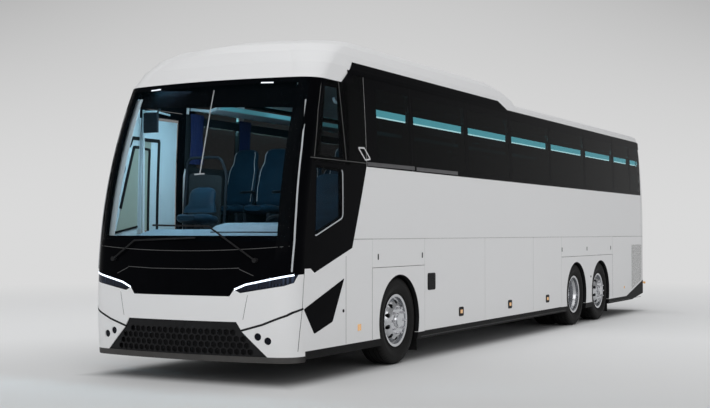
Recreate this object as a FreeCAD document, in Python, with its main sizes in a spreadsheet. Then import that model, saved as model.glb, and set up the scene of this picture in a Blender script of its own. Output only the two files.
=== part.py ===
"""A three-axle touring coach: body shell, opening panels, cabin and running gear.

Millimetres. +Z is up, the nose points to -Y and the driver sits on the +X side, the coach's left.
The origin lies on the ground under the middle of the coach.
"""
import math
import os

import FreeCAD
import Part

DRIVING_SIZES = (
    ("body_length", 13700, "nose to tail"),
    ("body_width", 2550, "over the side panels"),
    ("wall", 50, "side wall, door and flap thickness"),
    ("glass", 8, "thickness of the flush bonded panes"),
    ("panel_low", 340, "lower edge of the white side panels"),
    ("rocker_low", 255, "lower edge of the black rocker strips"),
    ("lip_low", 230, "lower edge of the lip under the bumper"),
    ("lip_high", 290, "lower edge of the painted bumper"),
    ("waist_seam", 1460, "upper edge of the flaps"),
    ("window_low", 2260, "lower edge of the window band"),
    ("cant_rail", 3300, "top of the side walls"),
    ("screen_low", 1440, "lower edge of the windscreen"),
    ("screen_high", 3150, "upper edge of the windscreen"),
    ("nose_radius", 5540, "ball on which the whole front lies"),
    ("nose_ball_rise", 800, "height of that ball's centre"),
    ("corner_radius", 250, "front corners"),
    ("tail_corner", 160, "rear corners"),
    ("side_bend", 1500, "height where the sides start to lean in"),
    ("side_radius", 26400, "curve of the upper sides"),
    ("tail_bend", 1900, "height where the tail starts to lean in"),
    ("tail_radius", 5760, "curve of the upper tail"),
    ("nose_depth", 211, "how far the front panels wrap round the corners"),
    ("screen_depth", 45, "how far the windscreen wraps round the corners"),
    ("tail_depth", 250, "how far the rear panels reach forward"),
    ("front_overhang", 2570, "nose to front axle"),
    ("wheelbase", 6730, "front axle to drive axle"),
    ("tag_spacing", 1380, "drive axle to tag axle"),
    ("wheel_inset", 181, "body side to the middle of an outer wheel"),
    ("twin_spacing", 330, "between the middles of twin wheels"),
    ("tyre_radius", 508, "loaded tyre, and so the height of the axles"),
    ("tyre_width", 298, "tyre section"),
    ("rim_radius", 305, "rim flange"),
    ("rim_width", 254, "over the rim flanges"),
    ("hub_radius", 140, "hub"),
    ("hand_holes", 10, "holes in each wheel disc"),
    ("arch_gap", 27, "tyre to wheel arch"),
    ("house_gap", 84, "tyre to wheelhouse"),
    ("sheet", 8, "wheelhouse sheet"),
    ("panel_gap", 6, "groove round opening panels"),
    ("fit", 0.3, "running clearance at hinges and bearings"),
    ("arch_panel_high", 1137, "lower edge of the flaps over the wheels"),
    ("front_arch_ahead", 705, "front axle to the front edge of its flap"),
    ("front_arch_behind", 692, "front axle to the first luggage flap"),
    ("bay_one", 1960, "length of the first luggage flap"),
    ("bay_two", 1943, "length of the second luggage flap"),
    ("rear_arch_ahead", 790, "drive axle to the rear edge of the last luggage flap"),
    ("rear_arch_behind", 750, "tag axle to the rear edge of the flap over the wheels"),
    ("floor_high", 1420, "passenger floor"),
    ("floor_thick", 50, "passenger floor slab"),
    ("cab_floor", 1020, "driver's floor"),
    ("bay_floor_low", 290, "underside of the luggage bays"),
    ("board", 30, "bay floors and bulkheads"),
    ("door_width", 870, "front door leaf"),
    ("door_ahead", 860, "nose to the front door leaf"),
    ("door_high", 2950, "top of the front door leaf"),
    ("mid_door_width", 800, "middle door leaf"),
    ("mid_door_high", 2600, "top of the middle door leaf"),
    ("mid_door_ahead", 1222, "drive axle to the rear edge of the middle door leaf"),
    ("door_crank", 450, "reach of the door arms"),
    ("door_post", 60, "inner door face to the middle of its post"),
    ("door_pivot", 85, "inner door face to the pins that carry the leaf"),
    ("step_depth", 290, "one tread of the front entrance"),
    ("seat_pitch", 790, "row to row"),
    ("seat_width", 440, "one seat"),
    ("seat_rows", 14, "rows along the left side"),
    ("aisle", 540, "between the seats"),
    ("rail_width", 70, "underframe rail"),
    ("rail_height", 180, "underframe rail"),
    ("rail_spread", 840, "between the middles of the rear rails"),
    ("front_rail_spread", 640, "between the middles of the front rails"),
    ("rear_rail_low", 780, "underside of the rear rails"),
    ("front_rail_low", 660, "underside of the front rails"),
    ("engine_length", 1450, "engine with its gearbox end"),
    ("engine_height", 850, "engine"),
    ("engine_gap", 350, "tail to the engine"),
    ("tow_radius", 25, "bore of the towing jaw"),
    ("kingpin_radius", 26, "kingpin"),
    ("hatch_size", 620, "escape hatch opening"),
    ("lid_low", 900, "lower edge of the engine lid"),
    ("lid_high", 1760, "upper edge of the engine lid"),
    ("lid_width", 1900, "engine lid"),
)

doc = FreeCAD.newDocument("Coach")
sheet = doc.addObject("Spreadsheet::Sheet", "Sizes")
nodes = []


class Size:
    """A length that knows its number and its formula in the sheet."""

    def __init__(self, number, formula):
        self.number = float(number)
        self.formula = formula

    @staticmethod
    def of(value):
        return value if isinstance(value, Size) else Size(value, repr(float(value)))

    def _join(self, other, sign, number):
        return Size(number, f"({self.formula} {sign} {other.formula})")

    def __add__(self, other):
        other = Size.of(other)
        return self._join(other, "+", self.number + other.number)

    def __sub__(self, other):
        other = Size.of(other)
        return self._join(other, "-", self.number - other.number)

    def __mul__(self, other):
        other = Size.of(other)
        return self._join(other, "*", self.number * other.number)

    def __truediv__(self, other):
        other = Size.of(other)
        return self._join(other, "/", self.number / other.number)

    def __radd__(self, other):
        return Size.of(other) + self

    def __rsub__(self, other):
        return Size.of(other) - self

    def __rmul__(self, other):
        return Size.of(other) * self

    def __neg__(self):
        return Size(-self.number, f"(0 - {self.formula})")

    def __float__(self):
        return self.number


class Sheet:
    """The driving sizes by name."""


def fill_sheet():
    """Write each size in its own row, with its name as the alias, and read it back."""
    for row, (name, number, meaning) in enumerate(DRIVING_SIZES, start=1):
        sheet.set(f"A{row}", name)
        sheet.set(f"B{row}", str(number))
        sheet.set(f"C{row}", meaning)
        sheet.setAlias(f"B{row}", name)
    doc.recompute()
    for name, _, _ in DRIVING_SIZES:
        setattr(Sheet, name, Size(float(getattr(sheet, name)), f"Sizes.{name}"))


fill_sheet()
s = Sheet

NOSE = -s.body_length / 2
TAIL = s.body_length / 2
SIDE = s.body_width / 2
INNER = SIDE - s.wall
FRONT_AXLE = NOSE + s.front_overhang
DRIVE_AXLE = FRONT_AXLE + s.wheelbase
TAG_AXLE = DRIVE_AXLE + s.tag_spacing
WHEEL_X = SIDE - s.wheel_inset
ARCH_RADIUS = s.tyre_radius + s.arch_gap
HOUSE_RADIUS = s.tyre_radius + s.house_gap
BAY_START = FRONT_AXLE + s.front_arch_behind
BAY_SPLIT_ONE = BAY_START + s.bay_one
BAY_SPLIT_TWO = BAY_SPLIT_ONE + s.bay_two
BAY_END = DRIVE_AXLE - s.rear_arch_ahead
FRONT_FLAP_START = FRONT_AXLE - s.front_arch_ahead
REAR_FLAP_END = TAG_AXLE + s.rear_arch_behind
DOOR_FRONT = NOSE + s.door_ahead
DOOR_REAR = DOOR_FRONT + s.door_width
MID_DOOR_REAR = DRIVE_AXLE - s.mid_door_ahead
MID_DOOR_FRONT = MID_DOOR_REAR - s.mid_door_width
REAR_SEAM = TAIL - s.tail_depth
FLOOR_LOW = s.floor_high - s.floor_thick
FAR = 400.0
BELOW = 40.0
LEFT, RIGHT = 1, -1
SIDES = ((LEFT, "left"), (RIGHT, "right"))


def vec(x, y, z):
    return FreeCAD.Vector(float(x), float(y), float(z))


def bind(obj, **sizes):
    for prop, value in sizes.items():
        obj.setExpression(prop, Size.of(value).formula)


def place(obj, x, y, z, turn=None):
    """Put the object at a point that follows the sheet, turned by an axis and an angle."""
    if turn:
        rotation = FreeCAD.Rotation(FreeCAD.Vector(*turn[0]), turn[1])
        obj.Placement = FreeCAD.Placement(FreeCAD.Vector(), rotation)
    for axis, value in (("x", x), ("y", y), ("z", z)):
        obj.setExpression(f"Placement.Base.{axis}", Size.of(value).formula)
    return obj


def box(name, x, y, z):
    """A box from its low and high limits along each axis."""
    obj = doc.addObject("Part::Box", name)
    bind(obj, Length=Size.of(x[1]) - x[0], Width=Size.of(y[1]) - y[0], Height=Size.of(z[1]) - z[0])
    return place(obj, x[0], y[0], z[0])


def rod(name, start, length, radius, axis="z"):
    """A round bar from a point along an axis."""
    turns = {"z": None, "x": ((0, 1, 0), 90), "y": ((1, 0, 0), -90)}
    obj = doc.addObject("Part::Cylinder", name)
    bind(obj, Radius=radius, Height=length)
    return place(obj, *start, turn=turns[axis])


def ball(name, radius):
    """A ball about the middle of the nose's own ball."""
    obj = doc.addObject("Part::Sphere", name)
    bind(obj, Radius=radius)
    return place(obj, 0, NOSE + s.nose_radius, s.nose_ball_rise)


def cut(name, base, *tools):
    for number, tool in enumerate(tools):
        step = doc.addObject("Part::Cut", f"{name}_cut_{number}")
        step.Base, step.Tool = base, tool
        base = step
    return base


def common(name, *shapes):
    obj = doc.addObject("Part::MultiCommon", name)
    obj.Shapes = list(shapes)
    return obj


def fuse(name, *shapes):
    obj = doc.addObject("Part::MultiFuse", name)
    obj.Shapes = list(shapes)
    return obj


def group(name, *shapes):
    """Like pieces that don't touch, held in one compound."""
    obj = doc.addObject("Part::Compound", name)
    obj.Links = list(shapes)
    return obj


def made(name, shape):
    obj = doc.addObject("Part::Feature", name)
    obj.Shape = shape
    return obj


def prism(name, points, along, low, high):
    """A flat outline pushed along X or Y: its points are (y, z) for X and (x, z) for Y."""
    if along == "x":
        corners = [vec(low, a, b) for a, b in points]
        push = vec(Size.of(high) - low, 0, 0)
    else:
        corners = [vec(a, low, b) for a, b in points]
        push = vec(0, Size.of(high) - low, 0)
    face = Part.Face(Part.makePolygon(corners + corners[:1]))
    return made(name, face.extrude(push))


def node(label, obj):
    """Name the piece and list it as one of the coach's own."""
    obj.Label = label
    nodes.append(obj)
    return obj


def side_range(side, low, high):
    """Limits along X, low and high measured outwards from the middle, on one side."""
    return (low, high) if side == LEFT else (-Size.of(high), -Size.of(low))


def hull(inset, low):
    """The body's outer form, drawn in by inset: leaning sides, ball nose, curved tail, round corners."""
    top = float(s.cant_rail)
    half = float(SIDE) - inset
    centre_x = float(SIDE - s.side_radius)
    radius = float(s.side_radius) - inset
    bend = float(s.side_bend)

    def lean(z):
        return centre_x + math.sqrt(radius**2 - (z - bend) ** 2)

    start = float(NOSE) - BELOW
    corner = [vec(x, start, z) for x, z in ((-half, low), (half, low), (half, bend), (lean(top), top))]
    far = [vec(-lean(top), start, top), vec(-half, start, bend)]
    middle = (top + bend) / 2
    edges = [
        Part.LineSegment(corner[0], corner[1]),
        Part.LineSegment(corner[1], corner[2]),
        Part.Arc(corner[2], vec(lean(middle), start, middle), corner[3]),
        Part.LineSegment(corner[3], far[0]),
        Part.Arc(far[0], vec(-lean(middle), start, middle), far[1]),
        Part.LineSegment(far[1], corner[0]),
    ]
    face = Part.Face(Part.Wire([edge.toShape() for edge in edges]))
    body = face.extrude(vec(0, s.body_length + BELOW - inset, 0))
    wide = float(s.body_width)
    nose = Part.makeBox(2 * wide, 2500, top + 500, vec(-wide, NOSE - 300, -100))
    nose_centre = vec(0, NOSE + s.nose_radius, s.nose_ball_rise)
    nose_ball = Part.makeSphere(float(s.nose_radius) - inset, nose_centre)
    body = body.cut(nose.cut(nose_ball))
    tail_radius = float(s.tail_radius) - inset
    tail_centre = vec(-wide, TAIL - s.tail_radius, s.tail_bend)
    drum = Part.makeCylinder(tail_radius, 2 * wide, tail_centre, vec(1, 0, 0))
    upper_tail = Part.makeBox(2 * wide, 2000, top, vec(-wide, TAIL - 1600, s.tail_bend))
    body = body.cut(upper_tail.cut(drum)).Solids[0]
    body = round_corners(body, half, float(NOSE) + 1500, -1, float(s.corner_radius) - inset)
    return round_corners(body, half, float(TAIL) - 1000, 1, float(s.tail_corner) - inset)


def round_corners(body, half, limit, direction, radius):
    """Fillet the upright corner edges that lie past a limit along Y."""
    corners = []
    for edge in body.Edges:
        middle = edge.valueAt((edge.FirstParameter + edge.LastParameter) / 2)
        tall = edge.BoundBox.ZLength > 300
        if tall and abs(middle.x) > half - 120 and (middle.y - limit) * direction > 0:
            corners.append(edge)
    return body.makeFillet(radius, corners)


def plan_outline(height, half, square, rounded, corner, bulge):
    """A flat outline with a square end and a bulging end between rounded corners."""
    way = 1 if rounded > square else -1
    side, shoulder = half - corner, rounded - way * bulge
    slant = corner * math.sqrt(0.5)
    right = [vec(half, square, height), vec(half, shoulder - way * corner, height),
             vec(side + slant, shoulder - way * (corner - slant), height), vec(side, shoulder, height)]
    left = [vec(-point.x, point.y, point.z) for point in right]
    edges = [
        Part.LineSegment(right[0], right[1]),
        Part.Arc(right[1], right[2], right[3]),
        Part.Arc(right[3], vec(0, rounded, height), left[3]),
        Part.Arc(left[3], left[2], left[1]),
        Part.LineSegment(left[1], left[0]),
        Part.LineSegment(left[0], right[0]),
    ]
    return Part.Wire([edge.toShape() for edge in edges])


def crowned(sections, inset):
    """A low dome through plan outlines, drawn in and down by inset."""
    outlines = []
    for height, half, square, rounded, corner, bulge in sections:
        drawn_in = rounded - inset if rounded > square else rounded + inset
        outlines.append(plan_outline(height - inset, half - inset, square, drawn_in, corner, bulge))
    return Part.makeLoft(outlines, True, True)


HULL_LOW = float(s.lip_low)
hull_outer = made("hull_outer", hull(0.0, HULL_LOW))
hull_inner = made("hull_inner", hull(float(s.wall), HULL_LOW - BELOW))
hull_glass = made("hull_glass", hull(float(s.glass), HULL_LOW - BELOW))
shell = cut("shell", hull_outer, hull_inner)
pane = cut("pane", hull_outer, hull_glass)

ALL_X = (-SIDE - FAR, SIDE + FAR)
ALL_Z = (-FAR, s.cant_rail + 1500)
CAB_BACK = NOSE + 1750

nose_zone = cut("nose_zone", box("nose_box", ALL_X, (NOSE - FAR, CAB_BACK), ALL_Z),
                ball("nose_seam", s.nose_radius - s.nose_depth))
tail_zone = box("tail_zone", ALL_X, (REAR_SEAM, TAIL + FAR), ALL_Z)
front_shell = common("front_shell", shell, nose_zone)
side_shell = cut("side_shell", shell, nose_zone, tail_zone)
rear_shell = common("rear_shell", shell, tail_zone)

GRILLE = ((1000, float(s.lip_high)), (740, 535), (675, 635))
GRILLE_DROP = 40
LAMP = ((650, 958), (720, 925), (1170, 1000), (1240, 1030), (1262, 1110), (765, 1012))
SPLIT = [(600, 890), (650, 958)]
BEYOND = 1700
MASK_LINE = SPLIT + [(765, 1012), (1262, 1110), (BEYOND, 1190)]
BUMPER_LINE = SPLIT + [(720, 925), (1170, 1000), (1240, 1030), (1262, 1110), (BEYOND, 1190)]
FOGS = ((905, 492), (1010, 452))
FOG_RADIUS = 38
LAYER_START, LAYER_END = 10.0, 30.0
SCREEN_REACH, SCREEN_TAPER = 60, 30


def mirrored(points):
    """An outline's right half followed by its mirror image."""
    return [(-x, z) for x, z in reversed(points)] + list(points)


def front_prism(name, points, back=None):
    return prism(name, points, "y", NOSE - FAR, CAB_BACK if back is None else back)


def build_nose():
    """Windscreen, its frame, the black mask, the bumper, its grille and the lamps."""
    screen_box = box("screen_box", ALL_X, (NOSE - FAR, CAB_BACK), (s.screen_low, s.screen_high))
    screen_zone = cut("screen_zone", screen_box, ball("screen_seam", s.nose_radius - s.screen_depth))
    screen = node("windscreen", common("windscreen", pane, screen_zone))
    edge = s.wall * 1.2
    half = float(SIDE - s.corner_radius) + SCREEN_REACH
    low, high = float(s.screen_low + edge), float(s.screen_high - edge)
    opening = front_prism("screen_opening", mirrored([(half, low), (half - SCREEN_TAPER, high)]))
    surround = cut("screen_frame", common("surround", front_shell, screen_box), screen, opening)

    top = float(s.screen_low)
    mask_zone = front_prism("mask_zone", mirrored(MASK_LINE) + [(BEYOND, top), (-BEYOND, top)])
    node("front_mask", fuse("front_mask", surround, common("mask_lower", front_shell, mask_zone)))

    low = float(s.lip_high)
    bumper_zone = front_prism("bumper_zone", mirrored(BUMPER_LINE) + [(BEYOND, low), (-BEYOND, low)])
    grille_zone = front_prism("grille_zone", mirrored(((GRILLE[0][0], low - GRILLE_DROP),) + GRILLE))
    fogs = [rod(f"fog_hole_{x}_{side}", (side * x, NOSE - FAR, z), 3 * FAR, FOG_RADIUS, "y")
            for x, z in FOGS for side, _ in SIDES]
    bumper = common("bumper", front_shell, bumper_zone)
    node("front_bumper", cut("front_bumper", bumper, grille_zone, *fogs))
    layer_outer = made("layer_outer", hull(LAYER_START, HULL_LOW))
    layer = cut("sunk_layer", layer_outer, made("layer_inner", hull(LAYER_END, HULL_LOW - BELOW)))
    fog_lamps = common("fog_lamps", common("fog_part", layer, bumper_zone),
                       cut("fog_discs", group("fog_rods", *fogs), grille_zone))
    lamp_zones = group("lamp_zones", front_prism("lamp_left", LAMP),
                       front_prism("lamp_right", [(-x, z) for x, z in LAMP]))
    headlamps = common("headlamps", front_shell, lamp_zones)
    node("front_lamps", group("front_lamps", headlamps, fog_lamps))
    build_grille(layer, grille_zone)


def build_grille(layer, zone):
    """Honeycomb plate sunk in the bumper's opening, with a plain upper part."""
    radius = (CELL_PITCH - CELL_WEB) / math.sqrt(3)
    cells = []
    for row in range(CELL_ROWS):
        z = CELL_START + row * CELL_PITCH * math.sqrt(3) / 2
        for column in range(-CELLS_ASIDE, CELLS_ASIDE + 1):
            x = (column + (row % 2) / 2) * CELL_PITCH
            slanted_edge = GRILLE[0][0] - (z - GRILLE[0][1]) * GRILLE_SLANT
            if abs(x) > slanted_edge - CELL_PITCH:
                continue
            corners = [vec(x + radius * math.sin(turn), NOSE - FAR, z + radius * math.cos(turn))
                       for turn in (math.pi * k / 3 for k in range(7))]
            cells.append(Part.Face(Part.makePolygon(corners)).extrude(vec(0, 3 * FAR, 0)))
    above_lip = box("above_lip", ALL_X, (NOSE - FAR, CAB_BACK), (s.lip_high + s.fit, s.waist_seam))
    plate = common("grille_plate", layer, zone, above_lip)
    node("bumper_grille", cut("bumper_grille", plate, made("grille_cells", Part.makeCompound(cells))))


CELL_PITCH, CELL_WEB = 74.0, 14.0
CELL_START, CELL_ROWS, CELLS_ASIDE = 335.0, 4, 13
GRILLE_SLANT = (GRILLE[0][0] - GRILLE[1][0]) / (GRILLE[1][1] - GRILLE[0][1])
build_nose()

CAB_BLACK = ((-6354, 1167), (-6274, 1121), (-5458, 1366), (-5100, 2262))


def build_sides():
    """Side walls over the waist seam, their window openings, the flush panes and the cab's black sides."""
    ahead, over = float(NOSE) - 200, float(s.cant_rail) + 100
    low = along_cab(CAB_BLACK)
    outline = [(ahead, low[0][1])] + low + [(low[-1][0], over), (ahead, over)]
    cab_zone = prism("cab_zone", outline, "x", *ALL_X)
    above_screen = box("above_screen", ALL_X, (NOSE - FAR, FAIRING_SEAM), (s.screen_high, s.cant_rail + FAR))
    band = box("band", ALL_X, (NOSE - FAR, REAR_SEAM), (s.window_low, s.cant_rail + FAR))
    upper = box("upper", ALL_X, (NOSE - FAR, TAIL), (s.waist_seam, s.cant_rail + FAR))
    windows = window_zones()
    panes_all = common("band_panes", cut("side_panes", pane, nose_zone, tail_zone), band)
    panes, walls, cab_parts = [], [], []
    for side, word in SIDES:
        half = box(f"half_{word}", side_range(side, 0, SIDE + FAR), (NOSE - FAR, TAIL + FAR), ALL_Z)
        glass = common(f"glass_half_{word}", panes_all, half)
        glass = cut(f"glass_{word}", glass, above_screen, windows["joints"])
        wall = common(f"wall_half_{word}", side_shell, half)
        tools = [windows["openings"], above_screen]
        if side == LEFT:
            driver_pane = common("driver_pane", pane, windows["driver_pane"], half)
            panes.append(driver_pane)
            tools += [glass, driver_pane]
            cab_tools = tools + [windows["driver"]]
        else:
            edges = [box(f"{name}_pane_edge_{k}", (-SIDE - FAR, 0), (y, y + s.panel_gap), ALL_Z)
                     for name, start, width, *_ in DOORS
                     for k, y in enumerate((start - s.panel_gap, start + width))]
            glass = cut("glass_right_doors", glass, doorways, *edges)
            tools += [glass, doorways]
            cab_tools = tools
        panes.append(glass)
        walls.append(cut(f"side_wall_{word}", common(f"wall_upper_{word}", wall, upper), *tools, cab_zone))
        cab_parts.append(cut(f"cab_side_{word}", common(f"cab_half_{word}", wall, cab_zone), *cab_tools))
    node("side_walls", group("side_walls", *walls))
    node("cab_sides", group("cab_sides", *cab_parts))
    return cab_zone, panes


def along_cab(points):
    """Points drawn for a nose at -6850, moved with the real nose."""
    return [(y + float(NOSE) + 6850, z) for y, z in points]


def build_doorways():
    """The two doorways on the right side, as boxes through the wall."""
    ways = []
    for name, start, width, high, _ in DOORS:
        ways.append(box(f"{name}_way", DOOR_X, (start - s.panel_gap, start + width + s.panel_gap),
                        (s.panel_low - s.panel_gap, high + s.panel_gap)))
    return group("doorways", *ways)


DOOR_X = (-SIDE - FAR, -SIDE + 3 * s.wall)
DOORS = (
    ("front_door", DOOR_FRONT, s.door_width, s.door_high, s.panel_low + 160),
    ("middle_door", MID_DOOR_FRONT, s.mid_door_width, s.mid_door_high, s.window_low),
)
FAIRING_SEAM = NOSE + 1400
doorways = build_doorways()


PILLAR = 110.0
DRIVER_UPPER = ((-6120, 2330), (-5640, 2330), (-5640, 3080), (-5960, 3080))
DRIVER_LOWER = ((-6200, 2200), (-5670, 2180), (-5680, 1700), (-6240, 1520))
DRIVER_PANE = ((-6225, 2225), (-5645, 2205), (-5655, 1675), (-6265, 1495))
PANE_JOINTS = (-5100, -3900, -2200, -570, 1190, 3000, 4740, 5855)


def window_zones():
    """Openings behind the panes, between pillars at the pane joints, and the thin gaps of the joints."""
    joints = [y for y, _ in along_cab([(y, 0) for y in PANE_JOINTS])] + [float(REAR_SEAM) - 60]
    low, high = float(s.window_low) + 60, float(s.cant_rail) - 90
    wide = 2 * float(s.body_width)
    openings = [Part.makeBox(wide, b - a - PILLAR, high - low, vec(-wide / 2, a + PILLAR / 2, low))
                for a, b in zip(joints[:-1], joints[1:])]
    gap = float(s.panel_gap)
    gaps = [Part.makeBox(wide, gap, wide, vec(-wide / 2, y - gap / 2, float(s.window_low) - 20))
            for y in joints[:-1]]
    cab_windows = [prism(f"driver_{k}", along_cab(outline), "x", 0, s.body_width)
                   for k, outline in enumerate((DRIVER_UPPER, DRIVER_LOWER))]
    return {
        "openings": made("window_openings", Part.makeCompound(openings)),
        "joints": made("pane_joints", Part.makeCompound(gaps)),
        "driver": group("driver_openings", *cab_windows),
        "driver_pane": prism("driver_pane_zone", along_cab(DRIVER_PANE), "x", 0, s.body_width),
    }


cab_zone, side_panes = build_sides()


def groove(low, high):
    """Limits drawn in by half a panel gap at each end."""
    return (low + s.panel_gap / 2, high - s.panel_gap / 2)


def grown(low, high):
    """Limits let out by half a panel gap at each end."""
    return (low - s.panel_gap / 2, high + s.panel_gap / 2)


FLAPS = {
    "front_wheel_flap": (FRONT_FLAP_START, BAY_START, s.arch_panel_high),
    "luggage_flap_1": (BAY_START, BAY_SPLIT_ONE, s.panel_low),
    "luggage_flap_2": (BAY_SPLIT_ONE, BAY_SPLIT_TWO, s.panel_low),
    "luggage_flap_3": (BAY_SPLIT_TWO, BAY_END, s.panel_low),
    "rear_wheel_flap": (BAY_END, REAR_FLAP_END, s.arch_panel_high),
}
SLOPE_START = TAIL - 1350
TAIL_VALANCE = 632
VALANCE_LOW, VALANCE_KINK = 360, 930
AXLES = (("front", FRONT_AXLE), ("drive", DRIVE_AXLE), ("tag", TAG_AXLE))


def flaps_of(side):
    """The flaps on one side: the right one gives up its last bay to the middle door."""
    flaps = dict(FLAPS)
    if side == RIGHT:
        start, _, low = flaps["luggage_flap_2"]
        flaps["luggage_flap_2"] = (start, MID_DOOR_FRONT - s.panel_gap, low)
        del flaps["luggage_flap_3"]
    return flaps


def build_lower_sides():
    """Fixed lower panels with their wheel arches, black rockers, flaps on their hinge pins."""
    arches = group("arches", *[
        rod(f"arch_{name}", (-SIDE - FAR, axle, s.tyre_radius), s.body_width + 2 * FAR, ARCH_RADIUS, "x")
        for name, axle in AXLES])
    start, end = float(SLOPE_START), float(TAIL) + FAR
    low = float(s.panel_low - s.panel_gap / 2)
    far_high = low + (TAIL_VALANCE - low) / (float(TAIL) - start) * (end - start)
    slope = prism("rear_slope", [(start, low), (end, far_high), (end, -FAR), (start, -FAR)], "x", *ALL_X)
    lower = box("lower_zone", ALL_X, (NOSE - FAR, TAIL + FAR), (s.panel_low - s.panel_gap / 2, s.waist_seam))
    lowers = cut("lower_shell", common("lower_side", side_shell, lower), slope, cab_zone)
    skirts = []
    for side, word in SIDES:
        half = box(f"lower_half_{word}", side_range(side, 0, SIDE + FAR), (NOSE - FAR, TAIL + FAR), ALL_Z)
        panels = common(f"panels_{word}", lowers, half)
        holes = [build_flap(name, side, word, panels, *span) for name, span in flaps_of(side).items()]
        tools = holes + [arches] + ([doorways] if side == RIGHT else [])
        skirts.append(cut(f"skirt_{word}", panels, *tools))
    node("skirts", group("skirts", *skirts))
    strip = box("rocker_zone", ALL_X, (NOSE, SLOPE_START), (s.rocker_low, s.panel_low - s.panel_gap / 2))
    lip = box("lip_zone", ALL_X, (NOSE - FAR, CAB_BACK), (s.lip_low, s.lip_high))
    bottom = float(s.rocker_low)
    kink = float(TAIL) - VALANCE_KINK
    far_low = bottom + (VALANCE_LOW - bottom) / VALANCE_KINK * (end - kink)
    outline = [(start, bottom), (kink, bottom), (end, far_low), (end, far_high), (start, low)]
    valance = prism("valance_zone", outline, "x", *ALL_X)
    rockers = fuse("rocker_parts", common("rocker_sides", side_shell, strip),
                   common("rocker_lip", front_shell, lip),
                   common("rocker_tail", fuse("tail_shells", side_shell, rear_shell), valance))
    node("rockers", cut("rockers", rockers, arches, doorways))
    return slope


def build_flap(name, side, word, panels, low_y, high_y, low_z):
    """One flap and its hinge pin as a node; its hole is handed back."""
    x = side_range(side, SIDE - FAR, SIDE + FAR)
    reach = box(f"{name}_zone_{word}", x, groove(low_y, high_y),
                (low_z + s.panel_gap / 2, s.waist_seam - s.panel_gap))
    panel = common(f"{name}_panel_{word}", panels, reach)
    pin = rod(f"{name}_pin_{word}", (side * SIDE, low_y + s.panel_gap, s.waist_seam - s.panel_gap / 2),
              high_y - low_y - 2 * s.panel_gap, s.panel_gap / 2 - s.fit, "y")
    node(f"{name}_{word}", group(f"{name}_{word}", panel, pin))
    foot = low_z - FAR if low_z is s.panel_low else low_z - s.panel_gap / 2
    return box(f"{name}_hole_{word}", x, grown(low_y, high_y), (foot, s.waist_seam + 1))


rear_slope = build_lower_sides()


def build_doors():
    """Both entrance doors on the right: leaf, its bonded pane, and the post whose cranked arms carry it."""
    frame = s.wall * 1.6
    for name, start, width, high, pane_low in DOORS:
        end = start + width
        leaf_zone = box(f"{name}_leaf", DOOR_X, (start, end), (s.panel_low, high))
        glass_zone = box(f"{name}_pane_zone", DOOR_X, (start + PANE_REBATE, end - PANE_REBATE),
                         (pane_low, high - PANE_REBATE))
        opening = box(f"{name}_opening", DOOR_X, (start + frame, end - frame),
                      (pane_low + frame, high - frame))
        glass = node(f"{name}_glass", common(f"{name}_glass", pane, glass_zone))
        leaf = cut(f"{name}_panel", common(f"{name}_shell", side_shell, leaf_zone), glass, opening)
        node(name, group(f"{name}_bracketed", leaf, *build_door_arms(name, start, high)))


def build_door_arms(name, start, high):
    """A turning post in the doorway's front edge with two cranked arms; the leaf's brackets come back."""
    post_x, post_y = -(INNER - s.door_post), start + POST_ALONG
    pivot = (-float(INNER - s.door_pivot), float(post_y + s.door_crank))
    turn = math.radians(ARM_TURN)
    out = float(s.door_post + s.wall) + ELBOW_OUT
    elbow = (float(post_x) - out * math.cos(turn) + ELBOW_ALONG * math.sin(turn),
             float(post_y) + out * math.sin(turn) + ELBOW_ALONG * math.cos(turn))
    top, foot = high - ARM_DROP, STEP_ONE + s.fit
    bars = [rod(f"{name}_post", (post_x, post_y, foot), top + POST_OVER - foot, POST_RADIUS)]
    brackets = []
    for level, z in (("low", s.panel_low + ARM_RISE), ("high", top)):
        stops = ((float(post_x), float(post_y)), elbow, pivot)
        for part, (a, b) in enumerate(zip(stops, stops[1:])):
            way = vec(b[0] - a[0], b[1] - a[1], 0)
            bar = Part.makeCylinder(ARM_RADIUS, way.Length, vec(*a, z), way)
            bars.append(made(f"{name}_arm_{part}_{level}", bar.fuse(Part.makeSphere(ARM_RADIUS, vec(*b, z)))))
        inward = -(INNER - s.door_pivot + ARM_RADIUS + 2 * s.fit)
        bracket = box(f"{name}_bracket_{level}", (-SIDE, inward),
                      (pivot[1] - ARM_RADIUS, pivot[1] + ARM_RADIUS), (z - BRACKET, z + BRACKET))
        brackets.append(place(common(f"{name}_seated_{level}", bracket, hull_inner), s.fit, 0, 0))
    node(f"{name}_arms", fuse(f"{name}_arms", *bars))
    return brackets


ARM_TURN = 165
ARM_RADIUS, POST_RADIUS = 12.0, 15.0
ARM_RISE, ARM_DROP, POST_OVER = 130, 40, 20
POST_ALONG = 40
ELBOW_OUT, ELBOW_ALONG = 35.0, -10.0
BRACKET = 30
PANE_REBATE = 12
STEP_ONE = s.panel_low + 20
build_doors()


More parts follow.
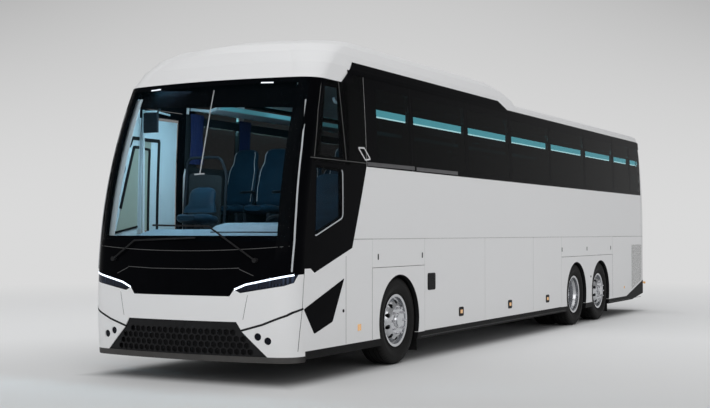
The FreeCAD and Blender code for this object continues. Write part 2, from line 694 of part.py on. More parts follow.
def build_tail():
    """Rear wall with its window, the engine lid, the rear bumper and the tail lamps."""
    half_lid, y = s.lid_width / 2, (TAIL - FAR, TAIL + FAR)
    lid_hole = box("lid_hole", (-half_lid - s.panel_gap, half_lid + s.panel_gap), y,
                   (s.lid_low - s.panel_gap, s.lid_high + s.panel_gap))
    lid = common("lid_panel", rear_shell, box("lid_zone", (-half_lid, half_lid), y, (s.lid_low, s.lid_high)))
    pin_start = (-half_lid, TAIL, s.lid_high + s.panel_gap / 2)
    pin = rod("lid_pin", pin_start, s.lid_width, s.panel_gap / 2 - s.fit, "x")
    node("engine_lid", group("engine_lid", lid, pin))
    lamp_out = SIDE - s.tail_corner - 10
    lamps = group("tail_lamp_zones", *[
        box(f"tail_lamp_{word}", side_range(side, lamp_out - LAMP_WIDTH, lamp_out), y, (LAMP_LOW, LAMP_HIGH))
        for side, word in SIDES])
    thin = cut("lamp_shell", hull_outer, made("lamp_inner", hull(LAMP_DEPTH, HULL_LOW - BELOW)))
    tail_lamps = node("tail_lamps", common("tail_lamps", thin, lamps))
    window = box("rear_window_zone", (-REAR_WINDOW, REAR_WINDOW), y, (s.window_low, s.screen_high))
    rear_window = common("rear_window", pane, window, tail_zone)
    node("bonded_glass", group("bonded_glass", *side_panes, rear_window))
    clear = REAR_WINDOW - 2 * s.wall
    hole = box("rear_window_hole", (-clear, clear), y, (s.window_low + 80, s.screen_high - 90))
    node("rear_wall", cut("rear_wall", rear_shell, rear_window, hole, lid_hole, tail_lamps, rear_slope))


LAMP_LOW, LAMP_HIGH, LAMP_WIDTH, LAMP_DEPTH = 1000, 1900, 110, 24.0
REAR_WINDOW = 1080
build_tail()

HUMP = ((3150, 1223, -60, -6327, 250, 110), (3330, 1204, -100, -6200, 300, 120),
        (3480, 1150, -330, -6060, 380, 130), (3590, 1080, -620, -5850, 450, 130),
        (3680, 960, -820, -5480, 500, 130), (3745, 780, -1000, -5120, 480, 110),
        (3785, 520, -1300, -4760, 380, 80), (3800, 260, -1700, -4400, 200, 40))
ROOF_BANDS = 7


def roof_sections(front):
    """Plan outlines of the crowned roof: a superellipse across, its tail end drawing in as it rises."""
    sections = []
    for band in range(ROOF_BANDS):
        turn = math.pi / 2 * band / (ROOF_BANDS - 0.4)
        across, up = math.cos(turn) ** (2 / 3), math.sin(turn) ** (2 / 3)
        half = (float(SIDE) - ROOF_LEAN) * across
        tail = float(TAIL) - ROOF_TAIL_LEAN - 420 * (1 - across)
        corner = float(s.tail_corner) + 100 * (1 - across)
        sections.append((float(s.cant_rail) + ROOF_CROWN * up, half, front, tail, corner, 15))
    return sections


ROOF_LEAN = 61.0
ROOF_TAIL_LEAN = 173.0
ROOF_CROWN = 195.0


def build_roof():
    """The crowned roof with its two hatch openings, and the tall fairing over the front half."""
    rise = float(s.cant_rail) - 3300
    grow = float(SIDE) - 1275
    nose = float(NOSE) + 6850
    sections = roof_sections(-5450 + nose)
    outer = made("roof_outer", crowned(sections, 0.0))
    inner = made("roof_inner", crowned(sections, float(s.wall)))
    hump = [(z + rise, half + grow, back + nose, front + nose, corner, bulge)
            for z, half, back, front, corner, bulge in HUMP]
    hump_outer = made("hump_outer", crowned(hump, 0.0))
    hump_inner = made("hump_inner", crowned(hump, float(s.wall)))
    behind = box("behind_cab", ALL_X, (FAIRING_SEAM, TAIL), (0, s.cant_rail))
    node("roof_fairing", cut("roof_fairing", hump_outer, hump_inner, outer, behind))
    curbs, holes, lids = [], [], []
    half, curb, lid = s.hatch_size / 2, s.hatch_size / 2 + CURB, s.hatch_size / 2 + CURB + 20
    for number, y in enumerate(HATCHES, start=1):
        curbs.append(box(f"curb_{number}", (-curb, curb), (y - curb, y + curb), (CURB_LOW, CURB_TOP)))
        holes.append(box(f"hatch_hole_{number}", (-half, half), (y - half, y + half), HOLE_Z))
        lids.append(box(f"hatch_lid_{number}", (-lid, lid), (y - lid, y + lid), LID_Z))
    node("roof_hatches", group("roof_hatches", *lids))
    roof_shell = fuse("roof_curbs", cut("roof_shell", outer, inner), *curbs)
    node("roof", cut("roof", roof_shell, *holes))


HATCHES = (DRIVE_AXLE - 1500, TAG_AXLE + 700)
CURB_LOW, CURB_TOP = s.cant_rail + 160, s.cant_rail + 230
CURB = 30
HOLE_Z, LID_Z = (s.cant_rail, CURB_TOP + 1), (CURB_TOP + s.fit, CURB_TOP + CURB)
build_roof()


def build_structure():
    """The passenger and cab floors in boards, both stairs, and the boxes of the luggage bays."""
    slab_start = DOOR_REAR + s.panel_gap + s.board
    cab_low = s.cab_floor - CAB_SLAB
    way = (MID_DOOR_FRONT - s.panel_gap, MID_DOOR_REAR + s.panel_gap)
    aisle, level = -s.aisle / 2, (FLOOR_LOW, s.floor_high)
    half_step = (s.floor_high - s.cab_floor) / 2
    cab_end = slab_start - s.fit
    front_way = (DOOR_FRONT, DOOR_REAR + s.panel_gap)
    base = s.bay_floor_low + s.board
    boards = [
        box("floor_ahead", ALL_X, (slab_start, way[0] - s.fit), level),
        box("floor_beside_well", (aisle, SIDE), way, level),
        box("floor_behind", ALL_X, (way[1] + s.fit, TAIL), level),
        box("cab_slab", (STAIR_END + s.fit, SIDE), (NOSE + s.corner_radius + CAB_AHEAD, cab_end),
            (cab_low, s.cab_floor)),
        box("aisle_step", (STAIR_END + s.fit, s.aisle / 2), (slab_start - AISLE_TREAD, cab_end),
            (s.cab_floor + s.fit, s.cab_floor + half_step)),
        box("cab_riser", (STAIR_END - s.board, SIDE), (slab_start, slab_start + s.board),
            (cab_low, FLOOR_LOW - s.fit)),
        box("stair_back", (-SIDE, STAIR_END), (front_way[1] + s.fit, cab_end), (s.lip_high, s.floor_high)),
    ]
    boards += steps("front", STAIR_END, 3, front_way, s.lip_high, s.cab_floor)
    boards += steps("mid", aisle, 4, way, base, s.floor_high)
    node("floor", group("floor", *[common(f"{board.Name}_in_room", board, hull_inner) for board in boards]))
    build_bays(way, base)
    build_wheelhouses()
    build_frame(slab_start)


def steps(name, end, count, y, foot, top):
    """A flight from the doorway inwards: equal treads and rises, the first tread at the sill."""
    rise, depth = (top - STEP_ONE) / count, (end + INNER) / count
    flight = []
    for k in range(count):
        low = foot if k == 0 else STEP_ONE + (k - 1) * rise + s.fit
        flight.append(box(f"{name}_step_{k}", (-INNER + k * depth, end), y, (low, STEP_ONE + k * rise)))
    return flight


def build_bays(way, base):
    """Floor and bulkheads of the luggage bays, and the walls round the middle stairwell."""
    aisle, z = -s.aisle / 2, (base, FLOOR_LOW)
    walls = [box("bay_base", ALL_X, (BAY_START - s.board, BAY_END + s.board), (s.bay_floor_low, base))]
    for name, y in enumerate((BAY_START - s.board, BAY_SPLIT_TWO - s.board / 2, BAY_END)):
        walls.append(box(f"bulkhead_{name}", ALL_X, (y, y + s.board), z))
    for name, y in (("ahead", way[0] - s.board), ("behind", way[1])):
        walls.append(box(f"well_{name}", (-SIDE, aisle), (y, y + s.board), z))
    walls.append(box("well_side", (aisle, aisle + s.board), (way[0] - s.board, way[1] + s.board), z))
    node("luggage_bays", common("luggage_bays", fuse("bay_all", *walls), hull_inner))


def build_wheelhouses():
    """A sheet tunnel over each wheel or pair, closed inboard, open below and to the side."""
    tunnels = []
    reach = INNER - HOUSE_INNER
    for name, axle in AXLES:
        for side, word in SIDES:
            tag = f"{name}_{word}"
            start = HOUSE_INNER if side == LEFT else -INNER
            room = HOUSE_INNER + s.sheet if side == LEFT else -INNER - FAR
            level = s.tyre_radius
            outer = rod(f"house_{tag}", (start, axle, level), reach, HOUSE_RADIUS + s.sheet, "x")
            inner = rod(f"house_room_{tag}", (room, axle, level), reach - s.sheet + FAR, HOUSE_RADIUS, "x")
            below = box(f"house_below_{tag}", side_range(side, 0, SIDE), (axle - FAR * 2, axle + FAR * 2),
                        (-FAR, HOUSE_LOW))
            slot = box(f"house_slot_{tag}", side_range(side, 0, HOUSE_INNER + 60), (axle - SLOT, axle + SLOT),
                       (0, level + SLOT))
            tunnels.append(cut(f"tunnel_{tag}", outer, inner, below, slot))
    node("wheelhouses", group("wheelhouses", *tunnels))


def build_frame(slab_start):
    """Front and rear rails with their cross beams and posts, the rear towing jaw, and the engine."""
    parts = []
    width = s.rail_width / 2
    half_front, half_rear = s.front_rail_spread / 2, s.rail_spread / 2
    top_front, top_rear = s.front_rail_low + s.rail_height, s.rear_rail_low + s.rail_height
    bay_front, bay_rear = BAY_START - s.board, BAY_END + s.board
    for side, word in SIDES:
        x = side_range(side, half_front - width, half_front + width)
        parts.append(box(f"front_rail_{word}", x, (NOSE + 250, bay_front), (s.front_rail_low, top_front)))
        for k, (y, top) in enumerate(((NOSE + 700, s.cab_floor - CAB_SLAB), (slab_start + 200, FLOOR_LOW),
                                      (bay_front - 120, FLOOR_LOW))):
            parts.append(box(f"front_post_{k}_{word}", x, (y, y + POST), (top_front, top)))
        x = side_range(side, half_rear - width, half_rear + width)
        parts.append(box(f"rear_rail_{word}", x, (bay_rear, TAIL), (s.rear_rail_low, top_rear)))
        for k, y in enumerate((bay_rear + 30, DRIVE_AXLE + 650, TAIL - 260)):
            parts.append(box(f"rear_post_{k}_{word}", x, (y, y + POST), (top_rear, FLOOR_LOW)))
    front_beam = (s.front_rail_low, s.front_rail_low + BEAM)
    rear_beam = (s.rear_rail_low - BEAM, s.rear_rail_low)
    back = TAIL - s.engine_gap
    parts += [
        box("front_beam", (-BEAM_REACH, BEAM_REACH), (NOSE, NOSE + 330), front_beam),
        box("rear_beam", (-BEAM_REACH, BEAM_REACH), (TAIL - 180, TAIL), rear_beam),
        box("front_cross", (-half_front, half_front), (FRONT_AXLE - 500, FRONT_AXLE - 420), front_beam),
        box("rear_cross", (-half_rear, half_rear), (DRIVE_AXLE + 600, DRIVE_AXLE + 680),
            (s.rear_rail_low, s.rear_rail_low + BEAM)),
        box("tow_jaw", (-60, 60), (TAIL - 180, TAIL - 60),
            (s.rear_rail_low - BEAM - JAW, s.rear_rail_low - BEAM)),
    ]
    bore = rod("tow_bore", (0, TAIL - 120, s.rear_rail_low - 2 * BEAM), 3 * BEAM, s.tow_radius)
    frame = cut("frame_bored", fuse("frame_parts", *parts), bore)
    node("underframe", common("underframe", frame, hull_inner))
    node("engine", box("engine", (width - half_rear, half_rear - width), (back - s.engine_length, back),
                       (FLOOR_LOW - 20 - s.engine_height, FLOOR_LOW - 20)))


STAIR_END = -INNER + 3 * s.step_depth
CAB_SLAB, CAB_AHEAD, AISLE_TREAD = 40, 110, 260
HOUSE_INNER = 580.0
HOUSE_LOW, SLOT = 420, 130
POST, BEAM, BEAM_REACH, JAW = 80, 120, 1150, 80
build_structure()


def revolved(name, outline, hole=None):
    """A body turned about its own Z from an outline of (radius, along) points, with hand holes in a ring."""
    body = doc.addObject("PartDesign::Body", name)
    planes = {plane.Role: plane for plane in body.Origin.OriginFeatures}
    sketch = body.newObject("Sketcher::SketchObject", f"{name}_outline")
    sketch.AttachmentSupport = (planes["XZ_Plane"], "")
    sketch.MapMode = "FlatFace"
    points = [vec(radius, along, 0) for radius, along in outline]
    for a, b in zip(points, points[1:] + points[:1]):
        sketch.addGeometry(Part.LineSegment(a, b), False)
    turn = body.newObject("PartDesign::Revolution", f"{name}_turn")
    turn.Profile = sketch
    turn.ReferenceAxis = (sketch, ["V_Axis"])
    turn.Angle = 360
    body.Tip = turn
    if hole:
        ring, radius, reverse = hole
        circle = body.newObject("Sketcher::SketchObject", f"{name}_hole_sketch")
        circle.AttachmentSupport = (planes["XY_Plane"], "")
        circle.MapMode = "FlatFace"
        circle.addGeometry(Part.Circle(vec(ring, 0, 0), vec(0, 0, 1), radius), False)
        pocket = body.newObject("PartDesign::Pocket", f"{name}_hole")
        pocket.Profile = circle
        pocket.Type = 1
        pocket.Reversed = reverse
        pattern = body.newObject("PartDesign::PolarPattern", f"{name}_holes")
        pattern.Originals = [pocket]
        pattern.Axis = (circle, ["N_Axis"])
        pattern.Angle = 360
        pattern.Occurrences = int(float(s.hand_holes))
        body.Tip = pattern
    return body


def turned(obj, side, axle):
    """Stand a wheel piece on its axle, its own +Z pointing outboard."""
    return place(obj, side * WHEEL_X, axle, s.tyre_radius, turn=((0, 1, 0), 90 * side))


def rim_edge():
    """The rim barrel's outline from its inner flange to its outer one, and back inside to the disc."""
    flange, half = float(s.rim_radius), float(s.rim_width) / 2
    seat = flange - 21
    outside = [(flange, -half), (flange, 12 - half), (seat, 21 - half), (seat, -60), (flange - 39, -30),
               (flange - 39, 30), (seat, 70), (seat, half - 21), (flange, half - 12), (flange, half)]
    inside = [(flange - 29, half - 5), (flange - 31, 74)]
    return outside, inside


def tyre_outline(shift=0.0):
    """Solid ring from the bead seats out to the tread, moved along its axle."""
    out, half = float(s.tyre_radius), float(s.tyre_width) / 2
    seat = float(s.rim_radius) - 21
    bead = float(s.rim_width) / 2 - 23
    right = [(seat, bead), (seat + 26, bead + 10), (out - 148, half - 12), (out - 88, half),
             (out - 38, half - 4), (out - 9, half - 22), (out, half - 42)]
    ring = right + [(radius, -along) for radius, along in reversed(right)]
    return [(radius, along + shift) for radius, along in ring]


SPINDLE = 45.0
AXLE_TUBE = 60.0
HOLE_RING, HOLE_RADIUS = 212, 26


def single_rim():
    outside, inside = rim_edge()
    bore, flange = SPINDLE + float(s.fit), float(s.rim_radius)
    hub = float(s.hub_radius) - 22
    back = [(0, 140), (bore, 140), (bore, 86), (hub, 86), (hub, 132), (165, 136), (215, 108),
            (flange - 47, 52), (flange - 47, -30), (flange - 33, -55), (flange - 33, -118)]
    front = [(flange - 45, 66), (222, 124), (170, 152), (88, 152), (80, 168), (0, 172)]
    return back + outside + inside + front


def twin_rims():
    """Outlines of the outer and inner wheels of a pair, bolted face to face."""
    outside, inside = rim_edge()
    bore, flange, face = AXLE_TUBE + float(s.fit), float(s.rim_radius), -float(s.twin_spacing) / 2
    hub = float(s.hub_radius) - 22
    dish = [(flange - 80, face + 37), (flange - 46, -66), (flange - 33, -74), (flange - 33, -118)]
    back = [(0, -60), (bore, -60), (bore, face), (165, face)] + dish
    front = [(flange - 47, 34), (flange - 47, -40), (222, -110), (163, face + 15), (hub, face + 15),
             (hub, -30), (88, -22), (80, 0), (0, 6)]
    outer = back + outside + inside + front
    other = [(bore, face), (165, face)] + dish + outside + inside + front[:4] + [(bore, face + 15)]
    return outer, [(radius, 2 * face - along) for radius, along in reversed(other)]


def build_wheels():
    """Tyres and polished rims: single wheels on the front and tag axles, twins on the drive axle."""
    for side, word in SIDES:
        for name, axle in (AXLES[0], AXLES[2]):
            tag = f"{name}_{word}"
            rim = revolved(f"rim_{tag}", single_rim(), (HOLE_RING, HOLE_RADIUS, True))
            node(f"rim_{tag}", turned(rim, side, axle))
            node(f"tyre_{tag}", turned(revolved(f"tyre_{tag}", tyre_outline()), side, axle))
        outer, inner = twin_rims()
        pair = fuse(f"rim_pair_{word}", revolved(f"rim_outer_{word}", outer, (HOLE_RING, HOLE_RADIUS, False)),
                    revolved(f"rim_inner_{word}", inner, (HOLE_RING, HOLE_RADIUS, False)))
        node(f"rim_drive_{word}", turned(pair, side, DRIVE_AXLE))
        inside = revolved(f"tyre_inside_{word}", tyre_outline(-float(s.twin_spacing)))
        tyres = group(f"tyres_drive_{word}", revolved(f"tyre_outside_{word}", tyre_outline()), inside)
        node(f"tyre_drive_{word}", turned(tyres, side, DRIVE_AXLE))


def build_axles():
    """Front beam with its kingpin eyes, the swivelling knuckles, the drive and tag axles, the air springs."""
    level = s.tyre_radius
    low, high = float(level) - EYE, float(level) + EYE
    reach = float(WHEEL_X)
    half_beam = [(560, low), (700, high), (reach, high), (reach, low), (740, low), (600, low - 85)]
    ring = half_beam + [(-x, z) for x, z in reversed(half_beam)]
    beam = prism("beam", ring, "y", FRONT_AXLE - 45, FRONT_AXLE + 45)
    eyes = [rod(f"eye_{word}", (side * WHEEL_X, FRONT_AXLE, level - EYE), 2 * EYE, EYE_RADIUS)
            for side, word in SIDES]
    bores = [rod(f"eye_bore_{word}", (side * WHEEL_X, FRONT_AXLE, level - 2 * EYE), 4 * EYE,
                 s.kingpin_radius + s.fit) for side, word in SIDES]
    front_axle = cut("front_axle", fuse("beam_eyes", beam, *eyes), *bores)
    for side, word in SIDES:
        build_knuckle(side, word, level)
    half = WHEEL_X - 62
    tube = rod("drive_tube", (-half, DRIVE_AXLE, level), 2 * half, AXLE_TUBE, "x")
    case = made("final_drive", Part.makeSphere(CASE_RADIUS, vec(0, DRIVE_AXLE, level), vec(1, 0, 0)))
    drive_axle = fuse("drive_axle", tube, case, rod("pinion_case", (0, DRIVE_AXLE, level), 330, 95, "y"))
    reach, ends = WHEEL_X + 80, WHEEL_X + SPINDLE_END
    tag_axle = fuse("tag_axle", rod("tag_tube", (-reach, TAG_AXLE, level), 2 * reach, TAG_TUBE, "x"),
                    rod("tag_spindle", (-ends, TAG_AXLE, level), 2 * ends, SPINDLE, "x"))
    node("axles", group("axles", front_axle, drive_axle, tag_axle))
    springs = []
    for (name, axle), foot, top, spread in (
            (AXLES[0], level - EYE, s.front_rail_low, s.front_rail_spread),
            (AXLES[1], level + AXLE_TUBE, s.rear_rail_low, s.rail_spread),
            (AXLES[2], level + TAG_TUBE, s.rear_rail_low, s.rail_spread)):
        for side, word in SIDES:
            springs.append(rod(f"air_spring_{name}_{word}", (side * spread / 2, axle, foot), top - foot, 100))
    node("air_springs", group("air_springs", *springs))


def build_knuckle(side, word, level):
    """Two lugs over and under the axle's eye, the kingpin through them and the wheel's spindle."""
    y = (FRONT_AXLE - 50, FRONT_AXLE + 50)
    x = side_range(side, WHEEL_X - 55, WHEEL_X + 80)
    lug_low, lug_high = level - EYE - LUG, level + EYE + LUG
    upper = box(f"upper_lug_{word}", x, y, (level + EYE + s.fit, lug_high))
    lower = box(f"lower_lug_{word}", x, y, (lug_low, level - EYE - s.fit))
    plate = box(f"knuckle_plate_{word}", side_range(side, WHEEL_X + 60, WHEEL_X + 80), y, (lug_low, lug_high))
    pin = rod(f"kingpin_{word}", (side * WHEEL_X, FRONT_AXLE, lug_low), 2 * (EYE + LUG), s.kingpin_radius)
    start = WHEEL_X + 70 if side == LEFT else -(WHEEL_X + SPINDLE_END)
    spindle = rod(f"spindle_{word}", (start, FRONT_AXLE, level), SPINDLE_END - 70, SPINDLE, "x")
    node(f"knuckle_{word}", fuse(f"knuckle_{word}", upper, lower, plate, pin, spindle))


EYE, EYE_RADIUS, LUG = 38, 55, 42
SPINDLE_END, TAG_TUBE, CASE_RADIUS = 138, 55, 195
build_wheels()
build_axles()


def build_cabin():
    """Dashboard, steering wheel, driver's seat, passenger seats and luggage racks."""
    base, front = float(s.cab_floor), float(NOSE)
    dash = prism("dash", [(front + 150, base), (front + 640, base), (front + 700, base + 260),
                          (front + 900, base + 370), (front + 860, base + 420), (front + 520, base + 440),
                          (front + 100, base + 400)], "x", -1000, SIDE)
    doorway = box("dash_doorway", (-SIDE, -700), (DOOR_FRONT - 60, TAIL), ALL_Z)
    dashboard = node("dashboard", common("dashboard", cut("dash_part", dash, doorway), hull_inner))
    build_steering_wheel(dashboard)
    build_seats()
    racks = []
    shelf = float(s.cant_rail) - 310
    for side, word in SIDES:
        under = [(1300, 30), (900, -20), (800, 10), (780, 70)]
        over = [(812, 76), (830, 34), (900, 14), (1300, 62)]
        profile = [(side * x, shelf + z) for x, z in under + over]
        racks.append(prism(f"rack_{word}", profile, "y", DOOR_REAR + 100, TAIL - 500))
    node("luggage_racks", common("luggage_racks", group("racks", *racks), hull_inner))


def build_steering_wheel(dashboard):
    """A three-spoked wheel tilted towards the driver on a column that ends in the dashboard."""
    tilt = ((1, 0, 0), -WHEEL_TILT)
    middle = (DRIVER_X, NOSE + 960, s.cab_floor + 560)
    ring = doc.addObject("Part::Torus", "wheel_ring")
    bind(ring, Radius1=225, Radius2=16)
    place(ring, *middle, turn=tilt)
    hub = doc.addObject("Part::Cylinder", "wheel_hub")
    bind(hub, Radius=60, Height=20)
    place(hub, *middle, turn=tilt)
    spokes = []
    for k in range(3):
        bar = Part.makeBox(170, 30, 14, vec(50, -15, -7))
        bar.rotate(vec(0, 0, 0), vec(0, 0, 1), 90 + 120 * k)
        bar.rotate(vec(0, 0, 0), vec(1, 0, 0), -WHEEL_TILT)
        bar.translate(vec(*middle))
        spokes.append(made(f"spoke_{k}", bar))
    lean = math.radians(WHEEL_TILT)
    column = Part.makeCylinder(28, 200, vec(*middle), vec(0, -math.sin(lean), -math.cos(lean)))
    wheel = fuse("wheel_parts", ring, hub, *spokes, made("column", column))
    node("steering_wheel", cut("steering_wheel", wheel, dashboard))


def seat_block(name, x, y, floor):
    """A pair of high-backed seats on one plinth, fused: cushions, backs with headrests."""
    width = float(s.seat_width)
    side = [(0, 360), (470, 330), (500, 430), (640, 1130), (560, 1160), (470, 1080), (400, 520), (20, 470)]
    parts = []
    for k in range(2):
        corners = [vec(x + k * (width + 20), y + a, floor + b) for a, b in side]
        face = Part.Face(Part.makePolygon(corners + corners[:1]))
        parts.append(face.extrude(vec(width, 0, 0)))
    plinth = Part.makeBox(2 * width - 180, 300, 350, vec(x + 100, y + 100, floor))
    return made(name, parts[0].multiFuse([parts[1], plinth]))


def build_seats():
    floor = float(s.floor_high)
    half_aisle = float(s.aisle) / 2
    width = 2 * float(s.seat_width) + 20
    pitch = float(s.seat_pitch)
    start = float(DOOR_REAR) + 420
    left, right = [], []
    for row in range(int(float(s.seat_rows))):
        y = start + row * pitch
        left.append(seat_block(f"seat_left_{row}", half_aisle + 10, y, floor))
        near_door = y + 640 > float(MID_DOOR_FRONT) - 60 and y < float(MID_DOOR_REAR) + 60
        if not near_door:
            right.append(seat_block(f"seat_right_{row}", -half_aisle - 10 - width, y, floor))
    node("passenger_seats", group("passenger_seats", *left, *right))
    cab = float(s.cab_floor)
    x, y = float(DRIVER_X), float(NOSE) + 1240
    side = [(0, 400), (480, 380), (600, 1150), (520, 1180), (420, 1050), (380, 520), (20, 500)]
    corners = [vec(x - 260, y + a, cab + b) for a, b in side]
    body = Part.Face(Part.makePolygon(corners + corners[:1])).extrude(vec(520, 0, 0))
    base = Part.makeBox(340, 340, 395, vec(x - 170, y + 60, cab))
    node("driver_seat", made("driver_seat", body.fuse(base)))


DRIVER_X = SIDE - 560
WHEEL_TILT = 35
build_cabin()


def on_nose(x, z, proud):
    """A point that stands proud of the nose's ball at a given place across and height."""
    radius = float(s.nose_radius) + proud
    back = math.sqrt(radius**2 - x**2 - (z - float(s.nose_ball_rise)) ** 2)
    return vec(x, float(NOSE + s.nose_radius) - back, z)


def build_fittings():
    """Wipers on the screen, mudflaps on the wheelhouses, side lamps and rubber-mounted rear markers."""
    arms = []
    for name, route in (("left", ((880, 1254, 25), (345, 1596, 40), (-368, 1609, 22))),
                        ("right", ((-912, 1254, 25), (-600, 1450, 40), (180, 1478, 22)))):
        points = [on_nose(*step) for step in route]
        for k, (a, b) in enumerate(zip(points, points[1:])):
            bar = Part.makeCylinder(9, (b - a).Length, a, b - a).fuse(Part.makeSphere(9, b))
            arms.append(made(f"wiper_{name}_{k}", bar))
        pivot = Part.makeCylinder(24, 80, points[0] - vec(0, 15, 0), vec(0, 1, 0))
        arms.append(made(f"wiper_pivot_{name}", pivot))
    node("wipers", cut("wipers", fuse("wiper_bars", *arms), hull_outer))
    flaps = []
    reach = math.sqrt((float(HOUSE_RADIUS + s.sheet)) ** 2 - (float(s.tyre_radius) - 420) ** 2)
    for name, axle in (("front", FRONT_AXLE), ("tag", TAG_AXLE)):
        for side, word in SIDES:
            flaps.append(box(f"mudflap_{name}_{word}", side_range(side, 700, INNER - 10),
                             (axle + reach - s.sheet, axle + reach), (110, 420)))
    node("mudflaps", group("mudflaps", *flaps))
    lamps = []
    for side, word in SIDES:
        for name, y, z, size in (("front", FRONT_AXLE - 1017, 499, 35), ("rear", TAG_AXLE + 1522, 507, 22)):
            if side == RIGHT and name == "front":
                y = DOOR_REAR + 60
            lamps.append(box(f"lamp_{name}_{word}", side_range(side, SIDE, SIDE + 6), (y - size, y + size),
                             (z - size, z + size)))
        start = vec(side * (SIDE - 60), TAIL - 150, 560)
        end = vec(side * (SIDE + 12), TAIL - 70, 545)
        stalk = Part.makeCylinder(16, (end - start).Length, start, end - start)
        marker = made(f"marker_stalk_{word}", stalk.fuse(Part.makeSphere(24, end)))
        lamps.append(cut(f"marker_{word}", marker, hull_outer))
    node("side_lamps", group("side_lamps", *lamps))


build_fittings()


def write_parts():
    doc.recompute()
    for obj in doc.Objects:
        if "Invalid" in obj.State or "Error" in obj.State:
            raise RuntimeError(f"{obj.Name} failed: {obj.State}")
    os.makedirs("parts", exist_ok=True)
    for obj in nodes:
        shape = obj.Shape
        if shape.isNull() or not shape.isValid() or not shape.Solids:
            raise RuntimeError(f"{obj.Label} has no valid shape")
    for obj in nodes:
        obj.Shape.exportStep(f"parts/{obj.Label}.step")
        print(obj.Label, len(obj.Shape.Solids), round(obj.Shape.Volume / 1e9, 5))


write_parts()
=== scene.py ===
import math

import bmesh
import bpy
import numpy as np
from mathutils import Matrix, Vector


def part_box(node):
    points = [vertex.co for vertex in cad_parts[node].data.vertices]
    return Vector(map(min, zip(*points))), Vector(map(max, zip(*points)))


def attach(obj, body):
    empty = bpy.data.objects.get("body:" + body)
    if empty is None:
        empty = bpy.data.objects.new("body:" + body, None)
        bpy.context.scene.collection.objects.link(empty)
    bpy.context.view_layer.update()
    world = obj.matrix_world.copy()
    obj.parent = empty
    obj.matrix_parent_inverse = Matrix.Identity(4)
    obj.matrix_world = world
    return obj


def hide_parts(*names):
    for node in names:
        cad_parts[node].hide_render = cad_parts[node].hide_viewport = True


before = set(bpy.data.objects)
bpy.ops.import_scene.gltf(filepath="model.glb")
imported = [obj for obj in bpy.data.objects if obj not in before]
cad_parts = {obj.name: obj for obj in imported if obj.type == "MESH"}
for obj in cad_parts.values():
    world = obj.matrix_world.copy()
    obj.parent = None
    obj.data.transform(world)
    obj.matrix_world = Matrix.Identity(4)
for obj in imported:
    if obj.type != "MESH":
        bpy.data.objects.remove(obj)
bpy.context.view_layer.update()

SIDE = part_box("skirts")[1][0]
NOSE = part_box("front_bumper")[0][1]
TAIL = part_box("rear_wall")[1][1]
NOSE_RADIUS, NOSE_RISE = 5.54, 0.80
CORNER = 0.25
SIDE_BEND, SIDE_RADIUS = 1.5, 26.4
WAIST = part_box("side_walls")[0][2]
WINDOW_LOW = 2.26
CAB_END = -5.50
SIDES = ((1, "left"), (-1, "right"))
AXLES = ("front", "drive", "tag")
COACH = "coach_body"

PHOTO_WIDTH = 710
FOCAL_PIXELS = 1197.67
SENSOR = 36.0
CAMERA_PLACE = (7.3775, -16.868, 1.5329)
CAMERA_TURN, CAMERA_LIFT = math.radians(28.01), math.radians(1.3614)

WHITE = (0.73, 0.73, 0.735)


def operator(operation, swapped=False):
    """An operator for Signal: it adds one Math node, fed in the order written or swapped."""
    def work(self, other):
        pair = (other, self) if swapped else (self, other)
        return self.paint.add("ShaderNodeMath", {"operation": operation}, pair)
    return work


class Signal:
    """A node's output that can be used in arithmetic; each operator adds one Math node."""

    def __init__(self, paint, socket):
        self.paint = paint
        self.socket = socket

    def math(self, operation, *others):
        return self.paint.add("ShaderNodeMath", {"operation": operation}, (self, *others))

    def clamp(self):
        return self.paint.add("ShaderNodeClamp", {}, (self,))

    __add__ = __radd__ = operator("ADD")
    __sub__ = operator("SUBTRACT")
    __rsub__ = operator("SUBTRACT", swapped=True)
    __mul__ = __rmul__ = operator("MULTIPLY")
    __truediv__ = operator("DIVIDE")
    __gt__ = operator("GREATER_THAN")
    __lt__ = operator("LESS_THAN")


